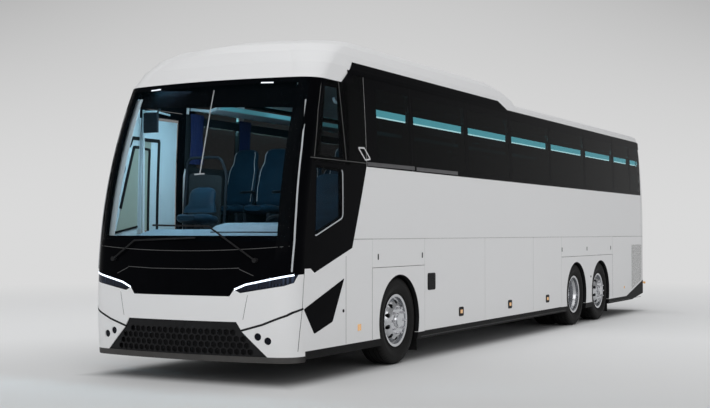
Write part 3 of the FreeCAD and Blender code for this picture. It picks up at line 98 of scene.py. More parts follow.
class Paint:
    def __init__(self, name, world=None):
        self.material = world or bpy.data.materials.new(name)
        self.material.use_nodes = True
        self.tree = self.material.node_tree
        self.tree.nodes.clear()

    def add(self, kind, settings=None, inputs=(), output=0):
        """Add a node of a type, set it up, then feed its sockets by number or name."""
        node = self.tree.nodes.new(kind)
        for key, value in (settings or {}).items():
            setattr(node, key, value)
        pairs = inputs.items() if isinstance(inputs, dict) else enumerate(inputs)
        for key, value in pairs:
            self.feed(node.inputs[key], value)
        return Signal(self, node.outputs[output]) if node.outputs else node

    def feed(self, socket, value):
        if isinstance(value, Signal):
            self.tree.links.new(value.socket, socket)
        elif isinstance(value, tuple) and len(value) == 3 and socket.type == "RGBA":
            socket.default_value = (*value, 1.0)
        else:
            socket.default_value = value

    def place(self, scale=(1, 1, 1)):
        """Object coordinates, stretched by a scale for each axis."""
        where = self.add("ShaderNodeTexCoord", output="Object")
        return self.add("ShaderNodeMapping", {}, {"Vector": where, "Scale": scale})

    def axes(self):
        """The three Object coordinates as separate signals."""
        where = self.add("ShaderNodeTexCoord", output="Object")
        split = self.add("ShaderNodeSeparateXYZ", {}, (where,))
        node = split.socket.node
        return [Signal(self, node.outputs[k]) for k in range(3)]

    def noise(self, scale, detail=3.0, roughness=0.55, stretch=(1, 1, 1)):
        return self.add("ShaderNodeTexNoise", {}, {
            "Vector": self.place(stretch), "Scale": scale, "Detail": detail, "Roughness": roughness})

    def cells(self, scale, feature="F1"):
        inputs = {"Vector": self.place(), "Scale": scale}
        return self.add("ShaderNodeTexVoronoi", {"feature": feature}, inputs)

    def mix(self, share, low, high):
        """Blend two colours by a share from 0 to 1."""
        node = self.tree.nodes.new("ShaderNodeMix")
        node.data_type = "RGBA"
        self.feed(node.inputs["Factor"], share)
        colours = [socket for socket in node.inputs if socket.type == "RGBA"]
        self.feed(colours[0], low)
        self.feed(colours[1], high)
        result = [socket for socket in node.outputs if socket.type == "RGBA"]
        return Signal(self, result[0])

    def bump(self, height, strength, distance):
        return self.add("ShaderNodeBump", {}, {"Height": height, "Strength": strength, "Distance": distance})

    def finish(self, colour, roughness, **sockets):
        """Principled surface from a colour, a roughness and any other sockets by name."""
        values = {"Base Color": colour, "Roughness": roughness}
        values.update({name.replace("_", " "): value for name, value in sockets.items()})
        shader = self.add("ShaderNodeBsdfPrincipled", {}, values)
        self.add("ShaderNodeOutputMaterial", {}, (shader,))
        return self.material


def white_paint():
    """Two-pack coach white: faint orange peel, road film low down, clear coat."""
    paint = Paint("white_paint")
    height = paint.axes()[2]
    film = ((0.62 - height) * 1.6).clamp() * paint.noise(2.5, 4.0)
    colour = paint.mix(film * 0.22, WHITE, (0.57, 0.55, 0.52))
    peel = paint.bump(paint.noise(420.0, 1.0), 0.06, 0.0004)
    return paint.finish(colour, paint.noise(1.2, 1.0) * 0.02 + 0.40, Normal=peel, Coat_Weight=0.05,
                        Coat_Roughness=0.10, Specular_IOR_Level=0.32)


def two_tone():
    """The middle door: coach white up to the windows' lower edge, black from there up."""
    paint = Paint("two_tone_door")
    colour = paint.mix(paint.axes()[2] > WINDOW_LOW, WHITE, (0.0016, 0.0018, 0.0025))
    return paint.finish(colour, paint.noise(1.2, 1.0) * 0.02 + 0.20, Specular_IOR_Level=0.2)


def skirt_lip():
    """The low strip round the coach: black plastic, greyer and uneven at the front lip."""
    paint = Paint("skirt_lip")
    share = ((-6.42 - paint.axes()[1]) * 6.0).clamp() * (0.7 + paint.noise(9.0, 5.0) * 0.5)
    colour = paint.mix(share, (0.006, 0.006, 0.0065), (0.068, 0.066, 0.064))
    pebbles = paint.bump(paint.cells(900.0), 0.3, 0.0006)
    return paint.finish(colour, 0.55, Normal=pebbles, Specular_IOR_Level=0.08)


def black_gloss():
    """Deep black gloss panels with a trace of haze."""
    paint = Paint("black_gloss")
    haze = paint.noise(6.0, 4.0)
    colour = paint.mix(haze, (0.0010, 0.0011, 0.0016), (0.0022, 0.0024, 0.0032))
    return paint.finish(colour, haze * 0.05 + 0.045, Specular_IOR_Level=0.012)


def grained(name, low, high, grain=900.0, roughness=0.55, shine=0.5):
    """Moulded plastic or rubber: a fine pebbled grain over a mottled colour."""
    paint = Paint(name)
    colour = paint.mix(paint.noise(9.0, 5.0), low, high)
    pebbles = paint.bump(paint.cells(grain), 0.35, 0.0006)
    rough = paint.noise(25.0) * 0.12 + roughness
    return paint.finish(colour, rough, Normal=pebbles, Specular_IOR_Level=shine)


def pane(name, colour, alpha, specular, cab_alpha=None):
    """Bonded glass: a colour film with a very faint wave in its reflection; clearer ahead, in the cab."""
    paint = Paint(name)
    if cab_alpha is not None:
        alpha = alpha + (paint.axes()[1] < CAB_END) * (cab_alpha - alpha)
    wave = paint.bump(paint.noise(1.5, 1.0), 0.03, 0.002)
    tint = paint.mix(paint.noise(0.8, 1.0), colour, tuple(0.8 * part for part in colour))
    return paint.finish(tint, 0.02, Alpha=alpha, Normal=wave, Specular_IOR_Level=specular)


def polished_alloy():
    """Polished forged alloy with fine turning marks round the wheel's axle."""
    paint = Paint("polished_alloy")
    marks = paint.noise(260.0, 2.0, stretch=(6.0, 1.0, 1.0))
    colour = paint.mix(paint.noise(18.0, 4.0), (0.66, 0.67, 0.69), (0.50, 0.51, 0.53))
    return paint.finish(colour, marks * 0.1 + 0.16, Metallic=1.0, Normal=paint.bump(marks, 0.08, 0.0004))


def metal(name, low, high, roughness):
    """Bare metal with a cast or brushed grain and uneven shine."""
    paint = Paint(name)
    rough = paint.noise(120.0, 4.0)
    colour = paint.mix(paint.noise(7.0, 5.0), low, high)
    return paint.finish(colour, rough * 0.2 + roughness, Metallic=0.9, Normal=paint.bump(rough, 0.2, 0.0008))


def tyre_rubber():
    """Tyre black, greyer and duller where dust has settled, with fine moulding ribs."""
    paint = Paint("tyre_rubber")
    dust = paint.noise(14.0, 6.0, 0.65)
    colour = paint.mix(dust, (0.0045, 0.0045, 0.005), (0.012, 0.0115, 0.011))
    return paint.finish(colour, dust * 0.2 + 0.55, Normal=paint.bump(paint.noise(300.0, 2.0), 0.25, 0.0006),
                        Specular_IOR_Level=0.16)


def woven(name, low, high, pitch, sheen):
    """Woven cloth: crossed threads from two stripe waves, flecked in two shades."""
    paint = Paint(name)
    across, along, up = paint.axes()
    warp = (across * pitch + along * pitch).math("SINE")
    weft = (up * pitch - along * pitch).math("SINE")
    threads = warp * weft * 0.5 + 0.5
    fleck = (paint.noise(60.0, 4.0) * 0.7 + threads * 0.3).clamp()
    colour = paint.mix(fleck, low, high)
    return paint.finish(colour, paint.noise(15.0) * 0.1 + 0.8, Normal=paint.bump(threads, 0.3, 0.0008),
                        Sheen_Weight=sheen)


def seat_hide():
    """Dark blue upholstery: a leather-like grain, paler on worn crowns."""
    paint = Paint("seat_hide")
    wear = paint.noise(7.0, 4.0)
    colour = paint.mix(wear, (0.0016, 0.010, 0.022), (0.0055, 0.028, 0.050))
    grain = paint.cells(420.0, "DISTANCE_TO_EDGE")
    return paint.finish(colour, wear * 0.15 + 0.40, Normal=paint.bump(grain, 0.25, 0.0006), Sheen_Weight=0.03,
                        Specular_IOR_Level=0.22)


def flecked_floor():
    """Vinyl floor covering with pale and dark flecks."""
    paint = Paint("floor_covering")
    flecks = paint.cells(210.0) < 0.24
    colour = paint.mix(flecks, (0.10, 0.12, 0.14), (0.26, 0.28, 0.30))
    return paint.finish(colour, paint.noise(30.0) * 0.1 + 0.5)


def lens(name, low, high, glow):
    """Moulded lamp lens: upright flutes over a coloured body."""
    paint = Paint(name)
    across, along, _ = paint.axes()
    flutes = ((across + along) * 700.0).math("SINE")
    colour = paint.mix(flutes * 0.5 + 0.5, low, high)
    return paint.finish(colour, 0.12, Normal=paint.bump(flutes, 0.15, 0.0008), Coat_Weight=0.5,
                        Emission_Color=colour, Emission_Strength=glow)


def lamp_glass():
    """Headlamp cover over a dark reflector bowl, with a painted blue-grey highlight towards its upper edge.
    """
    paint = Paint("lamp_glass")
    across, _, height = paint.axes()
    ribs = (across * 190.0).math("SINE") * 0.5 + 0.5
    # Painted highlight: the cover turns lighter towards its upper edge, in ribs.
    painted_gleam = ((height - 0.94) * 6.0).clamp() * ribs
    colour = paint.mix(painted_gleam, (0.004, 0.005, 0.009), (0.05, 0.07, 0.12))
    return paint.finish(colour, 0.07, Specular_IOR_Level=0.12)


def glowing(name, colour, strength):
    """A glowing surface, a little uneven along its length: a lit diffuser on the lamps, and painted daylight
    on the doorway's pane sheets.
    """
    paint = Paint(name)
    shade = paint.mix(paint.noise(4.0), colour, tuple(0.85 * part for part in colour))
    return paint.finish(shade, 0.4, Emission_Color=shade, Emission_Strength=strength)


def punched_panel():
    """Painted panel with staggered rows of punched holes along Y and Z."""
    paint = Paint("punched_panel")
    _, along, up = paint.axes()
    pitch = 0.026
    row = (up / (pitch * 0.5)).math("FLOOR")
    shift = row.math("PINGPONG", 1.0) * (pitch * 0.5)
    y = ((along + shift) / pitch).math("FRACT") - 0.5
    z = (up / (pitch * 0.5)).math("FRACT") - 0.5
    reach = (y * y + z * z * 0.25).math("SQRT")
    hole = reach < 0.23
    colour = paint.mix(hole, (0.72, 0.72, 0.72), (0.01, 0.01, 0.01))
    return paint.finish(colour, 0.35 + hole * 0.3, Normal=paint.bump(1.0 - hole, 0.6, 0.002))


PAINTS = {
    "white": white_paint(),
    "gloss": black_gloss(),
    "two_tone": two_tone(),
    "skirt_lip": skirt_lip(),
    "plastic": grained("black_plastic", (0.007, 0.007, 0.008), (0.015, 0.015, 0.016), shine=0.15),
    "rubber": grained("black_rubber", (0.008, 0.008, 0.008), (0.016, 0.016, 0.016), 500.0, 0.7, shine=0.15),
    "screen": pane("screen_glass", (0.003, 0.010, 0.013), 0.07, 0.02),
    "tinted": pane("tinted_glass", (0.0008, 0.0012, 0.0014), 0.86, 0.016, 0.30),
    "window": pane("cab_glass", (0.004, 0.008, 0.012), 0.45, 0.03),
    "alloy": polished_alloy(),
    "chrome": metal("chrome_trim", (0.80, 0.80, 0.82), (0.70, 0.70, 0.73), 0.06),
    "tyre": tyre_rubber(),
    "chassis": grained("chassis_paint", (0.012, 0.012, 0.013), (0.035, 0.034, 0.033), 200.0, 0.5),
    "iron": metal("engine_metal", (0.10, 0.10, 0.105), (0.17, 0.165, 0.16), 0.5),
    "lining": metal("bay_lining", (0.42, 0.43, 0.44), (0.32, 0.33, 0.34), 0.45),
    "floor": flecked_floor(),
    "dash": grained("cab_plastic", (0.16, 0.23, 0.29), (0.20, 0.28, 0.35), 700.0, 0.5),
    "dash_top": grained("dash_top", (0.16, 0.25, 0.32), (0.21, 0.31, 0.39), 700.0, 0.42),
    "pale": grained("pale_lining", (0.42, 0.52, 0.57), (0.48, 0.58, 0.63), 600.0, 0.5),
    "lining_cloth": woven("wall_cloth", (0.005, 0.008, 0.010), (0.011, 0.016, 0.019), 1800.0, 0.04),
    # Painted daylight: a glowing pale sheet where the doorway's panes are seen from inside.
    "painted_daylight": glowing("painted_daylight", (0.19, 0.24, 0.215), 0.35),
    "bowl": metal("lamp_bowl", (0.010, 0.012, 0.020), (0.026, 0.031, 0.048), 0.22),
    "seat": seat_hide(),
    "shell": grained("seat_shell", (0.007, 0.010, 0.014), (0.014, 0.018, 0.023), 700.0, 0.45, shine=0.2),
    "curtain": woven("curtain_cloth", (0.0025, 0.007, 0.040), (0.008, 0.020, 0.085), 2600.0, 0.1),
    "lamp": lamp_glass(),
    "amber": lens("amber_lens", (0.62, 0.30, 0.10), (0.85, 0.50, 0.20), 0.22),
    # The red glow is lamp light on the tail lamps and a painted glint on the tail reflectors.
    "red": lens("red_lens", (0.30, 0.004, 0.004), (0.50, 0.01, 0.01), 0.1),
    "daylight": glowing("daylight_strip", (0.78, 0.87, 1.0), 1.9),
    "marker": glowing("marker_lamp", (0.80, 0.84, 0.92), 0.7),
    "teal": glowing("teal_strip", (0.10, 0.34, 0.40), 0.4),
    "window_glow": glowing("window_strip", (0.10, 0.40, 0.47), 34.0),
    "strip_edge": glowing("strip_edge", (0.45, 0.78, 0.82), 44.0),
    "satin": metal("satin_trim", (0.085, 0.085, 0.09), (0.13, 0.13, 0.135), 0.28),
    "seal": grained("pane_seal", (0.004, 0.004, 0.0045), (0.008, 0.008, 0.009), 400.0, 0.5, shine=0.03),
    "seam": grained("seam_shadow", (0.05, 0.05, 0.05), (0.09, 0.09, 0.09), 400.0, 0.8),
    "grey": grained("grey_edge", (0.40, 0.42, 0.44), (0.50, 0.52, 0.54), 400.0, 0.35),
    "punched": punched_panel(),
}


def spread(table):
    """A table from each word to its key, from one that lists the words of every key."""
    return {word: key for key, words in table.items() for word in words.split()}


NODE_PAINTS = spread({
    "screen": "windscreen", "gloss": "front_mask cab_sides front_door",
    "white": "front_bumper side_walls skirts engine_lid rear_wall roof_fairing roof", "lamp": "front_lamps",
    "plastic": "bumper_grille roof_hatches wheelhouses wipers", "skirt_lip": "rockers",
    "two_tone": "middle_door", "red": "tail_lamps", "tinted": "bonded_glass middle_door_glass",
    "lining": "luggage_bays", "floor": "floor", "chassis": "underframe axles", "iron": "engine",
    "rubber": "air_springs mudflaps", "dash": "dashboard", "shell": "steering_wheel",
    "seat": "passenger_seats driver_seat", "pale": "luggage_racks", "amber": "side_lamps",
    "window": "front_door_glass",
})
PREFIX_PAINTS = {"rim": "alloy", "tyre": "tyre", "knuckle": "chassis"}


def paint_nodes():
    """Give every node of the coach its finish."""
    for name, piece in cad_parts.items():
        key = NODE_PAINTS.get(name)
        if key is None and name.endswith("_arms"):
            key = "pale" if name.startswith("front") else "chassis"
        if key is None and "flap" in name:
            key = "white"
        if key is None:
            key = PREFIX_PAINTS[name.split("_")[0]]
        for place in range(len(piece.material_slots)):
            piece.material_slots[place].material = PAINTS[key]
        if not piece.material_slots:
            piece.data.materials.append(PAINTS[key])


def grid_faces(rows, columns, closed_rows=False, closed_columns=False):
    """Quads between neighbouring points of a grid, joined round where a direction is closed."""
    row = np.arange(rows if closed_rows else rows - 1)
    column = np.arange(columns if closed_columns else columns - 1)
    row, column = np.meshgrid(row, column, indexing="ij")
    next_row, next_column = (row + 1) % rows, (column + 1) % columns
    corners = [row * columns + column, row * columns + next_column,
               next_row * columns + next_column, next_row * columns + column]
    return np.stack(corners, axis=-1).reshape(-1, 4)


class Pile:
    """Points and faces of one piece, gathered from several worked-out shapes."""

    def __init__(self, *shapes):
        self.points = []
        self.faces = []
        self.count = 0
        self.add(*shapes)

    def add(self, *shapes):
        """Take in shapes, each a pair of points and faces."""
        for points, faces in shapes:
            points = np.asarray(points, dtype=float).reshape(-1, 3)
            self.faces += [tuple(int(k) + self.count for k in face) for face in faces]
            self.points.append(points)
            self.count += len(points)

    def make(self, name, paint, body=COACH, smooth=True, bevel=0.0):
        """Turn the gathered shapes into a piece that rides on a body."""
        mesh = bpy.data.meshes.new(name)
        mesh.from_pydata(np.concatenate(self.points).tolist(), [], self.faces)
        build = bmesh.new()
        build.from_mesh(mesh)
        bmesh.ops.remove_doubles(build, verts=build.verts, dist=1e-6)
        bmesh.ops.recalc_face_normals(build, faces=build.faces)
        build.to_mesh(mesh)
        build.free()
        mesh.polygons.foreach_set("use_smooth", [smooth] * len(mesh.polygons))
        piece = bpy.data.objects.new(name, mesh)
        bpy.context.scene.collection.objects.link(piece)
        mesh.materials.append(PAINTS[paint])
        if smooth:
            mesh.set_sharp_from_angle(angle=math.radians(38))
        if bevel:
            edge = piece.modifiers.new("edge", "BEVEL")
            edge.width = bevel
            edge.segments = 2
            edge.limit_method = "ANGLE"
        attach(piece, body)
        return piece


def shell(outer, inner):
    """A closed slab between two grids of points of the same size."""
    rows, columns = outer.shape[:2]
    points = np.concatenate([outer.reshape(-1, 3), inner.reshape(-1, 3)])
    skin = grid_faces(rows, columns)
    under = skin[:, ::-1] + rows * columns
    index = np.arange(rows * columns).reshape(rows, columns)
    ring = np.concatenate([index[0, :], index[1:, -1], index[-1, -2::-1], index[-2:0:-1, 0]])
    after = np.roll(ring, -1)
    rim = np.stack([ring, ring + rows * columns, after + rows * columns, after], axis=-1)
    return points, np.concatenate([skin, under, rim])


def block(low, high):
    """A closed box between two corners."""
    x, y, z = zip(low, high)
    points = [(a, b, c) for a in x for b in y for c in z]
    return points, [(0, 1, 3, 2), (4, 6, 7, 5), (0, 4, 5, 1), (2, 3, 7, 6), (0, 2, 6, 4), (1, 5, 7, 3)]


def bar(side, reach, thick, start, end, low, high):
    """A box along one side, from its reach off the middle, its thickness, its ends and its heights."""
    near, far = sorted((side * reach, side * (reach + thick)))
    return block((near, start, low), (far, end, high))


def lofted(points):
    """Rings of points joined into a skin, with a flat cap on the first ring and on the last."""
    rows, sides = points.shape[:2]
    last = (rows - 1) * sides
    caps = [tuple(range(sides))[::-1], tuple(range(last, last + sides))]
    return points, grid_faces(rows, sides, False, True).tolist() + caps


def tube(path, radius, sides=12, closed=False):
    """A round bar: a circle carried along a path, square to the line between its neighbours."""
    path = np.asarray(path, dtype=float)
    if closed:
        along = np.roll(path, -1, axis=0) - np.roll(path, 1, axis=0)
    else:
        along = np.gradient(path, axis=0)
    along /= np.linalg.norm(along, axis=1)[:, None]
    guide = np.array([0.0, 0.0, 1.0]) if abs(along[:, 2]).max() < 0.95 else np.array([0.31, 0.95, 0.07])
    first = np.cross(along, guide)
    first /= np.linalg.norm(first, axis=1)[:, None]
    second = np.cross(along, first)
    turn = np.linspace(0, 2 * np.pi, sides, endpoint=False)
    ring = first[:, None] * np.cos(turn)[None, :, None] + second[:, None] * np.sin(turn)[None, :, None]
    points = path[:, None] + radius * ring
    return (points, grid_faces(len(path), sides, True, True)) if closed else lofted(points)


def turned(profile, centre, side, sides=48):
    """A solid turned about the X axis: each (radius, outboard) point makes a ring; ends at radius 0 close."""
    radius, out = np.asarray(profile, dtype=float).T
    turn = np.linspace(0, 2 * np.pi, sides, endpoint=False)
    x = centre[0] + side * np.repeat(out[:, None], sides, axis=1)
    y = centre[1] + radius[:, None] * np.cos(turn)
    z = centre[2] + radius[:, None] * np.sin(turn)
    return np.stack([x, y, z], axis=-1), grid_faces(len(radius), sides, False, True)


def rounded(corners, radius, steps=5):
    """A closed outline with round corners: each corner becomes a quadratic curve between its two sides."""
    corners = np.asarray(corners, dtype=float)
    before, after = np.roll(corners, 1, axis=0), np.roll(corners, -1, axis=0)
    to_before, to_after = before - corners, after - corners
    start = corners + radius * to_before / np.linalg.norm(to_before, axis=1)[:, None]
    end = corners + radius * to_after / np.linalg.norm(to_after, axis=1)[:, None]
    share = np.linspace(0, 1, steps)[None, :, None]
    towards = (1 - share) * start[:, None] + share * corners[:, None]
    away = (1 - share) * corners[:, None] + share * end[:, None]
    return ((1 - share) * towards + share * away).reshape(-1, corners.shape[1])


def side_x(z):
    """Half width of the body at a height: upright to the bend, then an arc that leans in."""
    over = np.maximum(np.asarray(z, dtype=float) - SIDE_BEND, 0)
    return SIDE - SIDE_RADIUS + np.sqrt(SIDE_RADIUS**2 - over**2)


def on_side(side, y, z, lift=0.0):
    """Points on the body side at places along it and heights, lifted outwards."""
    y, z = np.broadcast_arrays(np.asarray(y, dtype=float), np.asarray(z, dtype=float))
    return np.stack([side * (side_x(z) + lift), y, z], axis=-1)


def nose_y(x, z):
    """Front face at a place across and a height: a ball, then the arc of the round corner."""
    x, z = np.broadcast_arrays(np.abs(np.asarray(x, dtype=float)), np.asarray(z, dtype=float))
    ball = NOSE + NOSE_RADIUS
    fall = (z - NOSE_RISE) ** 2
    middle = side_x(z) - CORNER
    corner = ball - np.sqrt((NOSE_RADIUS - CORNER) ** 2 - middle**2 - fall)
    edge = middle * NOSE_RADIUS / (NOSE_RADIUS - CORNER)
    front = ball - np.sqrt(NOSE_RADIUS**2 - np.minimum(x, edge) ** 2 - fall)
    arc = corner - np.sqrt(np.maximum(CORNER**2 - (x - middle) ** 2, 0))
    return np.where(x < edge, front, arc)


def on_nose(x, z, lift):
    """Points on the front face, lifted square to it by its slopes across and up."""
    x, z = np.broadcast_arrays(np.asarray(x, dtype=float), np.asarray(z, dtype=float))
    step = 1e-4
    y = nose_y(x, z)
    across = (nose_y(x + step, z) - nose_y(x - step, z)) / (2 * step)
    up = (nose_y(x, z + step) - nose_y(x, z - step)) / (2 * step)
    normal = np.stack([across, -np.ones_like(across), up], axis=-1)
    normal /= np.linalg.norm(normal, axis=-1)[..., None]
    return np.stack([x, y, z], axis=-1) + lift * normal


def strip(route, width, surface, lift, sink=0.002, parts=24):
    """A flat band of one width along a route on a surface given by its two coordinates."""
    route = np.asarray(route, dtype=float)
    lengths = np.concatenate([[0], np.cumsum(np.linalg.norm(np.diff(route, axis=0), axis=1))])
    spots = np.unique(np.concatenate([np.linspace(0, lengths[-1], parts), lengths]))
    line = np.stack([np.interp(spots, lengths, route[:, k]) for k in range(2)], axis=-1)
    along = np.gradient(line, axis=0)
    along /= np.linalg.norm(along, axis=1)[:, None]
    across = np.stack([-along[:, 1], along[:, 0]], axis=-1)
    edges = line[:, None] + across[:, None] * np.array([-0.5, 0.5])[None, :, None] * width
    return shell(surface(edges[..., 0], edges[..., 1], lift), surface(edges[..., 0], edges[..., 1], -sink))


def patch(outline, surface, lift, sink=0.002, columns=8):
    """A four-cornered plate on a surface: its points blend bilinearly between the corners."""
    a, b, c, d = np.asarray(outline, dtype=float)
    u = np.linspace(0, 1, columns)[None, :, None]
    v = np.linspace(0, 1, 8)[:, None, None]
    flat = (1 - v) * ((1 - u) * a + u * b) + v * ((1 - u) * d + u * c)
    return shell(surface(flat[..., 0], flat[..., 1], lift), surface(flat[..., 0], flat[..., 1], -sink))


def side_surface(side, sink=0.0):
    """The outside of a body side, or a face that lies behind it by a depth and lifts inwards."""
    def on(y, z, lift):
        return on_side(side, y, z, -sink - lift if sink else lift)
    return on


def corner_surface(side):
    """A body side that goes on round the nose's corner: ahead of the wall, x falls by the corner's arc."""
    def on_corner(y, z, lift):
        middle = side_x(z) - CORNER
        inner = (NOSE_RADIUS - CORNER) ** 2
        start = NOSE + NOSE_RADIUS - np.sqrt(inner - middle**2 - (z - NOSE_RISE) ** 2)
        x = middle + np.sqrt(CORNER**2 - np.maximum(start - y, 0) ** 2) + lift
        return np.stack([side * x, y, z], axis=-1)
    return on_corner


def oblong(a, b, low, high):
    """The corners of an upright rectangle from its two ends and two heights."""
    return (a, low), (b, low), (b, high), (a, high)


def mirrored(side, route):
    """A route across the nose, on one side of the middle."""
    return [(side * x, z) for x, z in route]


def middle_of(node):
    """The middle of a node's box."""
    low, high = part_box(node)
    return [(a + b) / 2 for a, b in zip(low, high)]


TYRE_RADIUS = 0.508
TREAD_BLOCKS = 64
GROOVES = (-0.085, -0.03, 0.03, 0.085)


def tyre_profile():
    """Closed section of a tyre as (radius, along, tread share): bead, wall, shoulder, grooved tread."""
    wall = [(0.284, 0.104, 0), (0.312, 0.114, 0), (0.335, 0.124, 0), (0.339, 0.130, 0), (0.345, 0.128, 0),
            (0.375, 0.141, 0), (0.410, 0.1485, 0), (0.414, 0.149, 0), (0.418, 0.1485, 0), (0.445, 0.147, 0),
            (0.470, 0.143, 0.0), (0.486, 0.136, 0.5), (0.499, 0.125, 1), (0.508, 0.106, 1)]
    tread = []
    for groove in GROOVES[::-1]:
        tread += [(0.508, groove + 0.008, 1), (0.496, groove + 0.005, 0), (0.496, groove - 0.005, 0),
                  (0.508, groove - 0.008, 1)]
    other = [(radius, -along, share) for radius, along, share in reversed(wall)]
    return np.array(wall + tread + other)


def tyre(centre, side):
    """The section turned round the axle; shoulder blocks sink where the turn falls in a notch."""
    radius, along, share = tyre_profile().T
    turns = 4 * TREAD_BLOCKS
    step = np.arange(turns)
    turn = 2 * np.pi * step / turns
    notch = (step % 4 == 0)[None, :] * (np.abs(along) > 0.095)[:, None] * share[:, None] * 0.009
    reach = radius[:, None] - notch
    x = centre[0] + side * np.repeat(along[:, None], turns, axis=1)
    points = np.stack([x, centre[1] + reach * np.cos(turn), centre[2] + reach * np.sin(turn)], axis=-1)
    return points, grid_faces(len(radius), turns, True, True)


NUTS = 10
NUT = ((0.0, 0.0), (0.019, 0.0), (0.019, 0.004), (0.0165, 0.006), (0.0165, 0.026), (0.013, 0.03),
       (0.010, 0.03), (0.010, 0.040), (0.0, 0.043))
HUB_CAP = ((0.0, -0.01), (0.070, -0.01), (0.070, 0.012), (0.060, 0.022), (0.035, 0.027), (0.0, 0.029))
CAP_LIMIT = 0.178
SINGLE_WHEEL = {"face": 0.152, "ring": 0.150, "cap": 0.172}
TWIN_WHEEL = {"face": -0.150, "ring": 0.143, "cap": 0.006}
TWIN_SPACING = 0.33
TYRE_INSET = 0.181


def nut(centre, side, turn, ring, face):
    """A hexagon nut with a domed stud end, on the wheel's nut circle."""
    y, z = centre[1] + ring * math.cos(turn), centre[2] + ring * math.sin(turn)
    profile = [(radius, face + out) for radius, out in NUT]
    return turned(profile, (centre[0], y, z), side, 6)


def build_wheels():
    """Tyres with grooved treads, wheel nuts and hub caps on every wheel."""
    for side, word in SIDES:
        for name in AXLES:
            body, tag = f"wheel_{name}_{word}", f"{name}_{word}"
            centre = np.array(middle_of(f"tyre_{tag}"))
            centre[0], centre[2] = side * (SIDE - TYRE_INSET), TYRE_RADIUS
            wheel = TWIN_WHEEL if name == "drive" else SINGLE_WHEEL
            pile = Pile(tyre(centre, side))
            if wheel is TWIN_WHEEL:
                pile.add(tyre(centre - (side * TWIN_SPACING, 0, 0), side))
            piece = pile.make(f"tread_{tag}", "tyre", body)
            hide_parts(f"tyre_{tag}")
            turns = [2 * math.pi * k / NUTS for k in range(NUTS)]
            nuts = [nut(centre, side, turn, wheel["ring"], wheel["face"]) for turn in turns]
            Pile(*nuts).make(f"nuts_{tag}", "chrome", body, smooth=False)
            cap = [(radius, min(wheel["cap"] + out, CAP_LIMIT)) for radius, out in HUB_CAP]
            Pile(turned(cap, centre, side)).make(f"hub_cap_{tag}", "alloy", body)


BUMPER_END = ((-6.478, 1.12), (-6.50, 0.957), (-6.52, 0.758), (-6.556, 0.54), (-6.574, 0.345))
SEAM_LIFT, BORDER_LIFT = 0.0008, 0.0006


def build_seams():
    """Panel joints that are only lines: along the waist, below the flaps and round the front panels; and a
    black strip along the bumper's crease, as painted shade.
    """
    seams, crease_shade = Pile(), Pile()
    for side, _ in SIDES:
        on, on_corner = side_surface(side), corner_surface(side)
        routes = [((-5.43, WAIST), (TAIL - 0.17, WAIST)), ((-4.985, 1.135), (-4.985, 0.345)),
                  ((4.58, 1.135), (4.58, 0.37)), ((6.60, 2.25), (6.60, 0.52))]
        if side > 0:
            routes.append(((-5.60, 1.28), (-5.60, 0.345)))
        for route in routes:
            seams.add(strip(route, 0.005, on, SEAM_LIFT))
        for a, b in ((-3.70, 1.87), (4.40, 6.55)):
            seams.add(strip(((a, 0.279), (b, 0.279)), 0.007, on, SEAM_LIFT))
        seams.add(strip(mirrored(side, ((0.80, 0.905), (0.75, 0.66))), 0.004, on_nose, SEAM_LIFT))
        seams.add(strip(mirrored(side, ((0.70, 1.165), (0.86, 1.10))), 0.006, on_nose, 0.0010))
        seams.add(strip(BUMPER_END, 0.006, on_corner, 0.0012))
        # A black strip along the bumper's fold: painted shade of the crease.
        fold = mirrored(side, ((0.72, 0.547), (0.955, 0.613), (1.192, 0.707), (1.240, 0.740)))
        crease_shade.add(strip(fold, 0.021, on_nose, 0.0015, parts=40))
        crease_shade.add(strip(((-6.635, 0.737), (-6.56, 0.757), (-6.497, 0.768)), 0.021, on_corner, 0.0015))
    seams.add(strip(((-0.70, 1.175), (-0.35, 1.162), (0.35, 1.162), (0.70, 1.175)), 0.006, on_nose, 0.0010))
    seams.make("panel_seams", "seam")
    crease_shade.make("bumper_crease", "plastic")
    outline = ((-0.99, 0.268), (0.99, 0.268), (0.66, 0.635), (-0.66, 0.635))
    Pile(patch(outline, on_nose, -0.062, sink=0.066, columns=24)).make("grille_backing", "plastic")


# Points across and up for the painted highlight down each screen post.
POST_LINE = ((1.154, 2.90), (1.183, 2.67), (1.202, 2.39), (1.213, 2.10), (1.225, 1.76), (1.230, 1.45),
             (1.223, 1.14))


def build_front():
    """Daylight strips, lamp units, marker lamps, the trim line at the screen's foot, a painted highlight down
    each screen post and the grille's sensor.
    """
    glow, units, markers, post_highlights = Pile(), Pile(), Pile(), Pile()
    for side, _ in SIDES:
        brow = mirrored(side, ((0.655, 0.960), (0.775, 1.010), (1.24, 1.108)))
        glow.add(strip(brow, 0.017, on_nose, 0.002))
        for k in range(3):
            x, low, high = 0.80 + 0.13 * k, 0.955 + 0.030 * k, 1.000 + 0.026 * k
            unit = ((x, low), (x + 0.095, low + 0.012), (x + 0.095, high + 0.012), (x, high))
            units.add(patch(mirrored(side, unit), on_nose, 0.0015))
        marker = ((0.65, 3.092), (0.79, 3.088), (0.79, 3.099), (0.65, 3.103))
        markers.add(patch(mirrored(side, marker), on_nose, 0.003))
        # A grey strip down each screen post: a painted highlight on the corner's edge.
        post_highlights.add(strip(mirrored(side, POST_LINE), 0.010, on_nose, 0.008, parts=48))
    glow.make("daylight_strips", "daylight")
    units.make("lamp_units", "bowl")
    markers.make("front_markers", "marker")
    route = [(x, 1.345 + 0.05 * (x / 1.2) ** 2) for x in np.linspace(-1.2, 1.2, 33)]
    Pile(strip(route, 0.006, on_nose, 0.0015, parts=48)).make("screen_trim", "seam")
    post_highlights.make("screen_post_highlight", "grey")
    sensor = patch(oblong(-0.06, 0.06, 0.575, 0.625), on_nose, -0.004, sink=0.03)
    Pile(sensor).make("front_sensor", "plastic", bevel=0.002)


